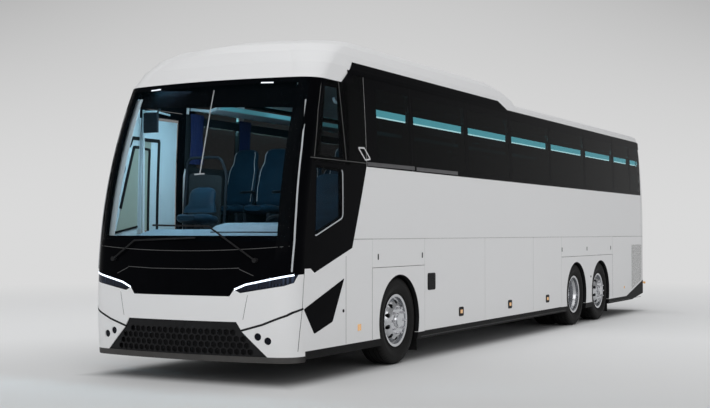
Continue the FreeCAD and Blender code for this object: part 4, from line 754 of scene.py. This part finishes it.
DIVIDERS = (-4.84, -3.90, -2.20, -0.57, 1.19, 3.00, 4.74, 5.855)
LATCHES = {"front_wheel_flap": (-4.84, -3.66), "rear_wheel_flap": (1.683, 3.023, 4.455)}
MARKERS = {"left": (-2.458, -0.675, 0.962), "right": (-2.458, -0.675)}
CAB_LINES = (((-6.33, 2.30), (-5.12, 2.30)),
             ((-6.26, 2.31), (-6.206, 2.534), (-6.146, 2.798), (-6.032, 3.13)),
             ((-5.575, 2.31), (-5.68, 3.14)))
WINDOW_TOP = 3.27


def build_side_fittings():
    """Trim of both sides, then the left side's own: black wedge, vent and the lines round the cab's panes."""
    for side, word in SIDES:
        build_flap_fittings(side, word)
        build_wall_fittings(side, word)
    on = side_surface(1)
    wedge = rounded(((-5.64, 1.045), (-6.49, 0.762), (-6.28, 0.50), (-5.896, 0.60)), 0.02)
    Pile(plate(wedge, on, 0.002)).make("side_wedge", "gloss")
    vent = Pile(plate(rounded(oblong(-3.506, -3.274, 0.828, 1.036), 0.03), on, 0.003))
    for z in 0.855 + 0.031 * np.arange(6):
        vent.add(strip(((-3.485, z), (-3.295, z)), 0.012, on, 0.007))
    vent.make("side_vent", "plastic", "luggage_flap_1_left_body")
    window = rounded(((-6.21, 2.225), (-5.66, 2.20), (-5.67, 1.69), (-6.275, 1.492)), 0.05, 7)
    Pile(strip(window[9:25], 0.012, on, 0.003, parts=80)).make("driver_window_edge", "grey")
    lines = [strip(route, 0.008, corner_surface(1), 0.003) for route in CAB_LINES]
    Pile(*lines).make("cab_pane_lines", "seam")


def build_flap_fittings(side, word):
    """What rides on the flaps of one side: latches, and side marker lamps in their bezels."""
    on = side_surface(side)
    for flap, places in LATCHES.items():
        latches = [rounded(oblong(y - 0.012, y + 0.012, 1.225, 1.292), 0.01) for y in places]
        pile = Pile(*[plate(latch, on, 0.003) for latch in latches])
        pile.make(f"latches_{flap}_{word}", "plastic", f"{flap}_{word}_body")
    for number, y in enumerate(MARKERS[word]):
        tag = f"luggage_flap_{number + 1}_{word}"
        bezel = rounded(oblong(y - 0.078, y + 0.078, 0.448, 0.568), 0.03)
        glass = rounded(oblong(y - 0.034, y + 0.034, 0.484, 0.532), 0.014)
        Pile(plate(bezel, on, 0.004)).make(f"marker_bezel_{tag}", "plastic", f"{tag}_body")
        Pile(plate(glass, on, 0.010)).make(f"marker_lamp_{tag}", "amber", f"{tag}_body")


def build_wall_fittings(side, word):
    """What rides on one wall: reflectors, punched grille, waist trim, black strip, seals, borders, mark."""
    on = side_surface(side)
    reflectors, seals, border = Pile(), Pile(), Pile()
    turn = np.linspace(0, 2 * np.pi, 17)[:-1]
    for y, z in ((3.24, 0.778), (5.352, 0.507), (-5.66, 0.70)):
        outline = np.stack([y + 0.018 * np.cos(turn), z + 0.018 * np.sin(turn)], axis=-1)
        reflectors.add(plate(outline, on, 0.004))
    reflectors.make(f"reflectors_{word}", "plastic")
    punched = patch(((5.87, 0.45), (6.59, 0.607), (6.59, 1.297), (5.87, 1.297)), on, 0.0025)
    Pile(punched).make(f"punched_grille_{word}", "punched")
    routes = ((-5.09, 2.293), (-3.852, 2.302)), ((-3.80, 2.296), (-2.54, 2.299))
    trim = [strip(route, 0.045, on, 0.006) for route in routes]
    Pile(*trim).make(f"waist_trim_{word}", "satin", bevel=0.002)
    Pile(*over_band(side)).make(f"upper_band_{word}", "gloss")
    for y in DIVIDERS[1:]:
        upright = ((y, WINDOW_LOW + 0.01), (y, WINDOW_TOP))
        seals.add(strip(upright, 0.009, on, 0.0011, sink=0.004))
        border.add(strip(upright, 0.125, on, BORDER_LIFT))
    for a, b in ((-5.09, 6.60),) if side > 0 else ((-5.05, 0.42), (1.29, 6.60)):
        for z, width in ((3.225, 0.125), (2.297, 0.055)):
            border.add(strip(((a, z), (b, z)), width, on, BORDER_LIFT, parts=60))
    first = ((-4.95, WINDOW_LOW + 0.05), (-4.95, WINDOW_TOP))
    border.add(strip(first, 0.26 if side > 0 else 0.20, on, BORDER_LIFT))
    seals.make(f"pane_seals_{word}", "seal")
    border.make(f"pane_borders_{word}", "gloss")
    mark = rounded(((-5.289, 2.460), (-5.150, 2.466), (-5.010, 2.350), (-5.130, 2.334)), 0.012, 4)
    loop = strip(np.concatenate([mark, mark[:1]]), 0.017, on, 0.003, parts=60)
    Pile(loop).make(f"pillar_mark_{word}", "chrome")


ARCH = 0.535


def build_arch_edges():
    """Black liners on the cut edge of the wheel arches: arcs as deep as the side wall."""
    turn = np.radians(np.linspace(-18, 198, 60))[:, None]
    depth = np.array([0.049, 0.0015])[None, :]
    for side, word in SIDES:
        pile = Pile()
        for name in AXLES:
            y, z = middle_of(f"tyre_{name}_{word}")[1:]
            rings = []
            for radius in (ARCH - 0.0005, ARCH - 0.0035):
                spots = on_side(side, y + radius * np.cos(turn), z + radius * np.sin(turn) + 0 * depth)
                spots[..., 0] -= side * depth
                rings.append(spots)
            pile.add(shell(*rings))
        pile.make(f"arch_edges_{word}", "plastic")


def plate(outline, surface, lift, sink=0.002):
    """A plate with any outline on a surface: a lifted face, a sunk one and the rim between them."""
    outline = np.asarray(outline, dtype=float)
    count = len(outline)
    over = surface(outline[:, 0], outline[:, 1], lift)
    under = surface(outline[:, 0], outline[:, 1], -sink)
    index = np.arange(count)
    after = np.roll(index, -1)
    rim = np.stack([index, index + count, after + count, after], axis=-1).tolist()
    return np.concatenate([over, under]), rim + [tuple(range(count)), tuple(range(count, 2 * count))[::-1]]


FAIRING_SIDE = ((3.15, 1.223), (3.33, 1.204), (3.48, 1.150))


def band_x(z):
    """The fairing's half width at a height: a parabola through three sections, or the wall's where wider."""
    (a, p), (b, q), (c, r) = FAIRING_SIDE
    bow = (p * (z - b) * (z - c) / ((a - b) * (a - c)) + q * (z - a) * (z - c) / ((b - a) * (b - c))
           + r * (z - a) * (z - b) / ((c - a) * (c - b)))
    return np.maximum(bow, side_x(np.minimum(z, 3.305)) - 0.36 * np.maximum(z - 3.305, 0))


def over_band(side):
    """The black strip above the front windows, on wall and fairing: straight, with slanted ends."""
    v = np.linspace(0, 1, 12)[:, None]
    u = np.linspace(0, 1, 60)[None, :]
    parts = []
    for low, high, stop in ((3.262, 3.404, None), (3.142, 3.262, -5.36)):
        z = low + (high - low) * v + 0 * u
        start = np.interp(z, (3.142, 3.262, 3.404), (-5.62, -5.46, -5.29))
        end = np.interp(z, (3.262, 3.30, 3.404), (-0.55, -0.62, -0.90)) if stop is None else stop
        y = start + (end - start) * u
        skin = [np.stack([side * (band_x(z) + lift), y, z], axis=-1) for lift in (0.004, -0.002)]
        parts.append(shell(*skin))
    return parts


SEAT_WIDTH = 0.44
SEAT_GAP = 0.02
SEAT_ROWS, SEAT_PITCH = 14, 0.79
RING_SIDES = 24
BACK_PLACE, BACK_LEAN, BACK_LOW, BACK_TALL = 0.43, 0.17, 0.44, 0.72
BACK_WIDTH = ((0, 0.80), (0.05, 0.95), (0.30, 1.0), (0.62, 0.97), (0.70, 0.88), (0.76, 0.80), (0.90, 0.80),
              (0.96, 0.70), (0.99, 0.50), (1.0, 0.30))
BACK_DEPTH = ((0, 0.50), (0.06, 0.85), (0.30, 1.0), (0.68, 0.80), (0.78, 0.88), (0.92, 0.80), (0.98, 0.50),
              (1.0, 0.25))


def back_sizes(up):
    """Half width and half depth of a seat back at a share of its height, read from its two outlines."""
    half = 0.5 * SEAT_WIDTH * np.interp(up, *zip(*BACK_WIDTH))
    return half, (0.062 - 0.012 * up) * np.interp(up, *zip(*BACK_DEPTH))


def bolster(across, up):
    """How far the side bolsters stand out from a back, by the fourth power of the place across."""
    return 0.035 * (np.abs(across) / (0.5 * SEAT_WIDTH)) ** 4 * (up < 0.70)


def seat_back(x, y, z, start=0.0, tall=BACK_TALL):
    """A high back: super-ellipse rings up a leaning spine, with side bolsters, drawn in for the headrest."""
    up = start + (1 - start) * np.sin(np.linspace(0, np.pi / 2, 26))[:, None] ** 1.2
    turn = np.linspace(0, 2 * np.pi, RING_SIDES, endpoint=False)[None, :]
    half, depth = back_sizes(up)
    cos, sin = np.cos(turn), np.sin(turn)
    across = half * np.sign(cos) * np.abs(cos) ** 0.55
    channel = 0.006 * np.cos(up * 38) * (np.abs(across) < 0.12) * (up < 0.68) * (sin < 0)
    front = depth * np.sign(sin) * np.abs(sin) ** 0.75 - bolster(across, up) * (sin < 0) + channel
    lean = y + BACK_PLACE + BACK_LEAN * up + front
    return lofted(np.stack([x + across, lean, z + BACK_LOW + tall * up + 0 * turn], axis=-1))


def seat_piping(x, y, z, side):
    """The pale cord along a bolster: it follows the back's side outline on its front face."""
    up = np.linspace(0.08, 0.95, 18)
    half, depth = back_sizes(up)
    across = 0.86 * half
    front = -0.84 * depth - bolster(across, up)
    lean = y + BACK_PLACE + BACK_LEAN * up + front
    return tube(np.stack([x + side * across, lean, z + BACK_LOW + BACK_TALL * up], axis=-1), 0.004, 6)


def seat_cushion(x, y, z):
    """A crowned cushion: super-ellipse rings from its front lip to the back, thicker at the lip."""
    along = np.linspace(0, 1, 11)[:, None]
    turn = np.linspace(0, 2 * np.pi, RING_SIDES, endpoint=False)[None, :]
    swell = np.sin(np.pi * np.clip(along, 0.03, 0.97)) ** 0.25
    cos, sin = np.cos(turn), np.sin(turn)
    across = 0.49 * SEAT_WIDTH * swell * np.sign(cos) * np.abs(cos) ** 0.6
    thick = 0.062 * swell * np.sign(sin) * np.abs(sin) ** 0.7
    dip = -0.012 * (np.abs(across) < 0.1) * (sin > 0)
    height = z + 0.41 - 0.03 * along + thick + dip
    return lofted(np.stack([x + across, y + 0.01 + 0.46 * along + 0 * turn, height], axis=-1))


def seat_places():
    """(x middle, y front) of every passenger seat, rows that would block the middle door left out."""
    low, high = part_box("passenger_seats")
    door_low, door_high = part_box("middle_door")[0][1] - 0.06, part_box("middle_door")[1][1] + 0.06
    step = SEAT_WIDTH + SEAT_GAP
    outer = high[0] - SEAT_WIDTH / 2
    places = []
    for row in range(SEAT_ROWS):
        y = low[1] + row * SEAT_PITCH
        places += [(outer, y), (outer - step, y)]
        if not (y + 0.64 > door_low and y < door_high):
            places += [(-outer, y), (step - outer, y)]
    return places


def build_seats():
    """Upholstered passenger seats on legs, with armrests and piping, and the driver's seat on its base."""
    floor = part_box("passenger_seats")[0][2]
    soft, hard, cords = Pile(), Pile(), Pile()
    for x, y in seat_places():
        soft.add(seat_back(x, y, floor), seat_cushion(x, y, floor))
        cords.add(seat_piping(x, y, floor, 1), seat_piping(x, y, floor, -1))
        for leg in (x - 0.19, x + 0.15):
            hard.add(block((leg, y + 0.08, floor), (leg + 0.04, y + 0.40, floor + 0.35)))
        arm = x - math.copysign(0.225, x)
        rest = [(arm, y + along, floor + up) for along, up in ((0.10, 0.60), (0.34, 0.615), (0.46, 0.60))]
        hard.add(tube(rest, 0.018))
    seats = soft.make("seat_upholstery", "seat")
    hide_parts("passenger_seats")
    hard.make("seat_frames", "shell", bevel=0.004)
    cords.make("seat_piping", "grey")
    low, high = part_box("driver_seat")
    x, y = (low[0] + high[0]) / 2, low[1] + 0.05
    driver = Pile(seat_back(x, y, low[2] + 0.02), seat_cushion(x, y, low[2] + 0.02))
    cushion = driver.make("driver_upholstery", "seat")
    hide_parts("driver_seat")
    base = block((x - 0.16, y + 0.08, low[2]), (x + 0.16, y + 0.40, low[2] + 0.35))
    Pile(base).make("driver_seat_base", "shell", bevel=0.01)


WALL = 0.05
SILL = 2.3215
HALF_PILLAR, LINING_DEPTH = 0.0565, 0.044
DOOR_START, DOOR_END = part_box("front_door")[0][1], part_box("front_door")[1][1]
DASH_REAR = -6.16
LEAF_DEPTH = 0.016
CURTAINS = {"left": ((-3.9, 0.17), (-2.2, 0.17)), "right": ((-4.92, 0.28), (-3.86, 0.28), (-2.2, 0.2))}


def build_door_side():
    """What the screen shows of the doorway: pale linings, dark mouldings, and glowing sheets of painted
    daylight where the panes are; on wall and leaf.
    """
    split = DOOR_START + 0.02
    edge, start = split - 0.03, split + 0.075
    on_wall, on_leaf = side_surface(-1, WALL), side_surface(-1, LEAF_DEPTH)
    pale, dark = Pile(), Pile()
    pale.add(patch(((-6.50, 1.43), (edge, 1.43), (edge, 3.04), (-6.05, 3.04)), on_wall, 0.010, 0.0))
    corner = ((-1.205, 1.43), (-1.02, 1.43), (-0.97, 3.04), (-1.155, 3.04))
    pale.add(patch(corner, on_nose, -0.060, 0.066, columns=16))
    for route, width in ((((edge, 2.50), (-6.085, 2.50), (-6.30, 1.80)), 0.034),
                         (((edge, 2.60), (-6.12, 2.60), (-6.17, 2.50)), 0.040),
                         (((-6.40, 1.53), (edge, 1.60)), 0.022)):
        dark.add(strip(route, width, on_wall, 0.022))
    pale.make("corner_lining", "pale", bevel=0.002)
    # A glowing sheet: painted daylight where the corner pane is.
    painted_daylight_sheet = patch(((-6.372, 1.544), (edge, 1.60), (edge, 2.482), (-6.07, 2.482)), on_wall, 0.016)
    Pile(painted_daylight_sheet).make("corner_painted_daylight", "painted_daylight")
    dark.make("corner_mouldings", "plastic")
    pale, dark = Pile(), Pile()
    pale.add(patch(oblong(-5.715, DOOR_END - 0.11, 0.95, 2.84), on_leaf, 0.002))
    pale.add(patch(oblong(start, -5.70, 2.62, 2.84), on_leaf, 0.002))
    pale.add(patch(oblong(DOOR_START + 0.004, split + 0.06, 0.95, 2.84), on_wall, 0.002, 0.0))
    for route, width in ((((split + 0.08, 2.60), (-5.57, 2.60), (-5.585, 1.0)), 0.040),
                         (((split + 0.08, 2.50), (-5.745, 2.49), (-5.75, 1.0)), 0.028)):
        dark.add(strip(route, width, on_leaf, 0.010))
    pale.make("door_lining", "pale", "front_door_leaf")
    # A glowing sheet: painted daylight where the door leaf's pane is.
    painted_daylight_sheet = patch(oblong(start, -5.70, 1.56, 2.62), on_leaf, -0.002, 0.004)
    Pile(painted_daylight_sheet).make("door_painted_daylight", "painted_daylight", "front_door_leaf")
    dark.make("door_mouldings", "plastic", "front_door_leaf")


def build_dash():
    """The dash top: a pale blue shelf that climbs from the screen to a hood, with a dark groove across it."""
    def sweep(x, share):
        """Height and place of the dash top across the cab, share 0 at the screen and 1 at the hood."""
        front = nose_y(x, 1.46 + 0 * x) + 0.16
        y = front + (DASH_REAR - front) * share
        hood = 0.07 / (1 + np.exp(-(x - 0.02) * 40)) * np.clip((share - 0.62) * 8, 0, 1)
        return y, 1.462 + 0.105 * share**0.8 + hood
    x = np.linspace(-0.86, 1.12, 40)[:, None]
    share = np.linspace(0, 1, 18)[None, :]
    y, z = sweep(x, share)
    x = x + 0 * share
    over = np.stack([x, y, z], axis=-1)
    under = np.stack([x, y, np.minimum(z - 0.006, 1.452 + 0 * z)], axis=-1)
    Pile(shell(over, under)).make("dash_top", "dash_top")
    x = np.linspace(0.05, 1.10, 30)
    y, z = sweep(x, 0.60 + 0 * x)
    groove = np.stack([x, y, z + 0.002], axis=-1)
    Pile(tube(groove, 0.009, 8)).make("dash_groove", "shell")


def build_guide_place():
    """The guide's folding seat on two legs, with the hoop rail and the dark partition behind it."""
    floor, behind = 1.08, -5.17

    def on_partition(x, z, lift):
        """Points on the upright plane of the partition; a lift goes forwards."""
        return np.stack([x, np.full_like(x, behind - lift), z], axis=-1)

    hoop = ((-1.16, 1.75), (-1.11, 2.42), (-0.63, 2.42), (-0.55, 2.20), (-0.60, 1.45), (-1.16, 1.45))
    loop = [(x, behind, z) for x, z in rounded(hoop, 0.09, 6)]
    Pile(tube(loop, 0.018, closed=True)).make("guide_rail", "shell")
    sheet = rounded(((-1.11, 1.47), (-0.65, 1.47), (-0.62, 2.20), (-1.08, 2.24)), 0.05, 5)
    Pile(plate(sheet, on_partition, 0.008, 0.008)).make("guide_partition", "lining_cloth")
    x, y = -0.63, -6.12
    seat = Pile(seat_back(x, y, 0.885, 0.60, 0.725), seat_cushion(x, y + 0.24, 1.29))
    cushion = seat.make("guide_seat", "seat")
    legs = [block((left, y + 0.40, floor - 0.03), (left + 0.06, y + 0.46, floor + 0.56))
            for left in (x + 0.03, x - 0.09)]
    Pile(*legs).make("guide_seat_legs", "shell", bevel=0.006)


def build_window_lights():
    """Lit lines along the racks, and over each window a lit strip with a bright edge and a dark back."""
    start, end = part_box("luggage_racks")[0][1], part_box("luggage_racks")[1][1]
    lights, strips, edges, backs = Pile(), Pile(), Pile(), Pile()
    for side, _ in SIDES:
        lights.add(bar(side, 0.772, 0.007, start + 0.05, end - 0.05, 3.005, 3.055))
        for a, b in zip(DIVIDERS, DIVIDERS[1:] + (6.60,)):
            for pile, reach, low, high in ((strips, 1.187, 2.856, 2.933), (edges, 1.187, 2.841, 2.856),
                                           (backs, 1.183, 2.836, 2.938)):
                pile.add(bar(side, reach, 0.004, a + 0.057, b - 0.057, low, high))
    lights.make("rack_lights", "teal")
    strips.make("window_lights", "window_glow")
    edges.make("window_light_edges", "strip_edge")
    backs.make("window_light_backs", "shell")


def build_wall_linings():
    """Dark cloth inside both walls: a band up to the sill, and a panel at each pillar."""
    door_low, door_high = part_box("middle_door")
    bands = {1: ((-5.05, 6.30),), -1: ((-5.05, door_low[1] - 0.1), (door_high[1] + 0.1, 6.30))}
    linings = Pile()
    for side, _ in SIDES:
        on_wall = side_surface(side, WALL)
        for a, b in bands[side]:
            linings.add(patch(oblong(a, b, 1.45, SILL), on_wall, 0.010, LINING_DEPTH))
        for y in DIVIDERS[1:]:
            pillar = oblong(y - HALF_PILLAR, y + HALF_PILLAR, 2.30, 2.96)
            linings.add(patch(pillar, on_wall, 0.006, LINING_DEPTH))
        linings.add(patch(oblong(-5.10, -4.86, 2.30, 2.96), on_wall, 0.006, 0.0))
    linings.make("wall_linings", "lining_cloth")


def build_screen_fittings():
    """What hangs behind the screen: the blind with its rod, the monitor and the round mirror."""
    outline = ((-1.05, 2.925), (1.05, 2.845), (1.02, 3.12), (-1.02, 3.12))
    Pile(patch(outline, on_nose, -0.06, sink=0.064, columns=24)).make("screen_blind", "gloss")
    rods, monitor, mirror = Pile(), Pile(), Pile()
    drop = [on_nose(0.06, 3.07, -0.055), on_nose(0.075, 2.836, -0.060), on_nose(0.105, 2.155, -0.050)]
    rods.add(tube(drop, 0.006))
    rods.add(tube([on_nose(0.04, 2.15, -0.050), on_nose(0.16, 2.155, -0.050)], 0.008))
    rods.make("blind_rod", "grey")
    monitor.add(block((-1.105, -6.03, 2.66), (-0.915, -5.995, 2.885)))
    monitor.add(tube([(-0.93, -6.01, 2.87), (-0.86, -6.01, 2.97), (-0.86, -6.01, 3.06)], 0.012))
    monitor.make("cab_monitor", "shell", bevel=0.008)
    turn = np.linspace(0, 2 * np.pi, 33)[:-1]
    rings = np.array([(0.20, 0.0), (0.85, 0.004), (1.0, 0.018), (0.96, 0.034), (0.30, 0.046)])
    share, depth = rings[:, :1], rings[:, 1:]
    across, up = -1.135 + 0.072 * share * np.cos(turn), 2.26 + 0.112 * share * np.sin(turn)
    mirror.add(lofted(np.stack([across, -6.42 + depth + 0 * turn, up], axis=-1)))
    mirror.add(tube([(-1.14, -6.39, 2.26), (-1.175, -6.39, 2.28)], 0.012))
    mirror.make("kerb_mirror", "shell")


def build_cabin():
    """All that shows through the glass besides the seats."""
    build_window_lights()
    for side, word in SIDES:
        for number, (y, width) in enumerate(CURTAINS[word]):
            build_curtain(f"curtain_{number + 1}_{word}", side, y, width)
    build_wall_linings()
    build_screen_fittings()
    build_door_side()
    build_dash()
    build_guide_place()


def build_curtain(name, side, y, width):
    """A gathered curtain at a pillar: its plan is a sine wave whose folds spread towards the hem."""
    top, hem, folds = 2.965, 2.36, 5
    u = np.linspace(0, 1, 80)[None, :]
    v = np.linspace(0, 1, 16)[:, None]
    swing = (0.013 + 0.008 * v) * np.sin(2 * np.pi * folds * u + 0.8 * v)
    along = y + (u - 0.5) * width * (1 - 0.12 * np.sin(np.pi * v))
    height = top + (hem - top) * v + 0 * u
    points = np.stack([side * (side_x(height) - 0.085) + swing, along, height], axis=-1)
    piece = Pile((points, grid_faces(16, 80))).make(name, "curtain")


def build_tail():
    """Louvres in the engine lid, two reflectors with a faint painted glint and a bare plate recess, all
    within the tail's face.
    """
    def on_tail(x, z, lift):
        x, z = np.broadcast_arrays(np.asarray(x, dtype=float), np.asarray(z, dtype=float))
        return np.stack([x, np.full_like(x, TAIL) + lift, z], axis=-1)
    lines = [((-0.72, z), (0.72, z)) for z in 1.04 + 0.05 * np.arange(11)]
    louvres = [strip(line, 0.026, on_tail, 0.002, parts=4) for line in lines]
    Pile(*louvres).make("lid_louvres", "plastic", "engine_lid_body")
    outlines = [rounded(mirrored(side, oblong(0.72, 0.86, 0.79, 0.83)), 0.01) for side, _ in SIDES]
    # The reflectors take the red lens paint; its faint glow on them is a painted glint, as they are no lamps.
    Pile(*[plate(outline, on_tail, 0.002) for outline in outlines]).make("tail_reflectors", "red")
    recess = rounded(oblong(-0.27, 0.27, 0.74, 0.86), 0.015)
    Pile(plate(recess, on_tail, 0.0015)).make("plate_recess", "plastic")


def build_camera():
    """The photograph's own camera: its place, its turn about the coach and its slight upward look."""
    optics = bpy.data.cameras.new("photo_camera")
    optics.sensor_width = SENSOR
    optics.lens = FOCAL_PIXELS / PHOTO_WIDTH * SENSOR
    optics.clip_end = 400
    camera = bpy.data.objects.new("photo_camera", optics)
    camera.location = CAMERA_PLACE
    camera.rotation_euler = (math.pi / 2 + CAMERA_LIFT, 0.0, CAMERA_TURN)
    bpy.context.scene.collection.objects.link(camera)
    bpy.context.scene.camera = camera


BACKDROP = (0.70, 0.70, 0.70)
CAB_LIGHT = (0.55, 0.85, 1.0)
AISLE_LAMPS = (-3.6, -0.6, 2.4, 5.0)


def add_light(name, place, aim, size, power, colour=(1, 1, 1), glossy=False):
    """A soft rectangular lamp aimed from its place; the camera never sees it, and a shine only if glossy."""
    light = bpy.data.lights.new(name, "AREA")
    light.shape = "RECTANGLE"
    light.size, light.size_y = size
    light.energy = power
    light.color = colour
    lamp = bpy.data.objects.new(name, light)
    lamp.location = place
    way = np.array(aim, dtype=float) - np.array(place, dtype=float)
    tilt = math.acos(-way[2] / np.linalg.norm(way))
    lamp.rotation_euler = (tilt, 0.0, math.atan2(way[1], way[0]) - math.pi / 2)
    lamp.visible_camera = False
    lamp.visible_glossy = glossy
    bpy.context.scene.collection.objects.link(lamp)


def build_studio():
    """Pale floor that fades into a backdrop with painted shade towards its top and sides, soft world light,
    two large soft lamps and cabin lamps.
    """
    world = bpy.data.worlds.new("studio")
    bpy.context.scene.world = world
    air = Paint("studio", world)
    seen, glossy, through = [air.add("ShaderNodeLightPath", output=f"Is {kind} Ray")
                             for kind in ("Camera", "Glossy", "Transmission")]
    soft = air.add("ShaderNodeBackground", {}, {"Color": (0.98, 0.99, 1.0), "Strength": 0.68})
    where = air.add("ShaderNodeTexCoord", output="Generated")

    def reach(axis, scale):
        """Square of a direction's part along an axis, over a scale."""
        share = air.add("ShaderNodeVectorMath", {"operation": "DOT_PRODUCT"}, (where, axis), "Value") / scale
        return (share * share).math("MINIMUM", 1.4)

    up = reach((0, 0, 1), 0.19)
    across = reach((math.cos(CAMERA_TURN), math.sin(CAMERA_TURN), 0), 0.285)
    # Painted shade: the backdrop the camera sees darkens upwards, most at the top corners.
    level = BACKDROP[0] - (up * 0.11 + up * across * 0.13)
    shown = air.add("ShaderNodeBackground", {}, {"Color": level})
    direct = seen.math("MAXIMUM", glossy.math("MAXIMUM", through))
    mix = air.add("ShaderNodeMixShader", {}, (direct, soft, shown))
    air.add("ShaderNodeOutputWorld", {}, (mix,))
    build_ground()
    add_light("front_softbox", (6.0, -17.0, 8.0), (0.5, -5.0, 1.6), (15.0, 10.0), 650.0, glossy=True)
    add_light("top_softbox", (0.0, -1.0, 10.0), (0.0, 0.0, 0.0), (16.0, 8.0), 215.0, glossy=True)
    add_light("cab_lamp", (-0.1, -6.0, 3.10), (-0.2, -5.7, 1.4), (1.4, 0.5), 36.0, CAB_LIGHT)
    add_light("door_lamp", (-0.2, -5.6, 2.6), (-1.2, -5.6, 2.2), (0.3, 0.6), 4.0, CAB_LIGHT)
    for number, y in enumerate(AISLE_LAMPS):
        add_light(f"aisle_lamp_{number + 1}", (0.0, y, 3.12), (0.0, y, 1.4), (0.7, 2.2), 6.0, CAB_LIGHT)


def distance(x, y):
    """How far a place on the ground is, from its two parts."""
    return (x * x + y * y).math("SQRT")


def build_ground():
    """A round floor whose colour turns into the backdrop's with distance from the coach; painted shade
    darkens it near the camera, and a painted shadow darkens it under and just round the coach.
    """
    paint = Paint("studio_floor")
    across, along, _ = paint.axes()
    far = ((distance(across, along) - 7.5) / 14.0).clamp()
    share = far * far * (3.0 - 2.0 * far)
    near = distance(across - CAMERA_PLACE[0], along - CAMERA_PLACE[1])
    # Painted shade: the floor is darker near the camera.
    level = 0.58 + 0.42 * ((near - 9.0) / 9.0).clamp().math("POWER", 0.8)
    # Painted shadow: the floor is darker under the coach and within about 0.4 m of its footprint.
    beside = (across.math("ABSOLUTE") - 1.0) / 0.4
    edge = beside.math("MAXIMUM", (along.math("ABSOLUTE") - 6.5) / 0.4).clamp()
    pale = paint.mix(level * (0.5 + 0.5 * edge), (0.0, 0.0, 0.0), (0.86, 0.86, 0.86))
    colour = paint.mix(paint.noise(0.4) * 0.05, pale, BACKDROP)
    soft = paint.add("ShaderNodeBsdfDiffuse", {}, {"Color": colour})
    glow = paint.add("ShaderNodeEmission", {}, {"Color": BACKDROP})
    shader = paint.add("ShaderNodeMixShader", {}, (share, soft, glow))
    paint.add("ShaderNodeOutputMaterial", {}, (shader,))
    turn = np.linspace(0, 2 * np.pi, 96, endpoint=False)
    reach = np.array([0.001, 20.0, 60.0, 180.0])[:, None]
    points = np.stack([reach * np.cos(turn), reach * np.sin(turn), np.full((4, 96), -0.002)], axis=-1)
    faces = grid_faces(4, 96, False, True)[:, ::-1].tolist() + [tuple(range(96))]
    mesh = bpy.data.meshes.new("studio_floor")
    mesh.from_pydata(points.reshape(-1, 3).tolist(), [], faces)
    floor = bpy.data.objects.new("studio_floor", mesh)
    bpy.context.scene.collection.objects.link(floor)
    mesh.materials.append(paint.material)


build_camera()
build_studio()
paint_nodes()
build_wheels()
build_seams()
build_front()
build_side_fittings()
build_arch_edges()
build_seats()
build_cabin()
build_tail()
bpy.context.scene.view_settings.view_transform = "Standard"
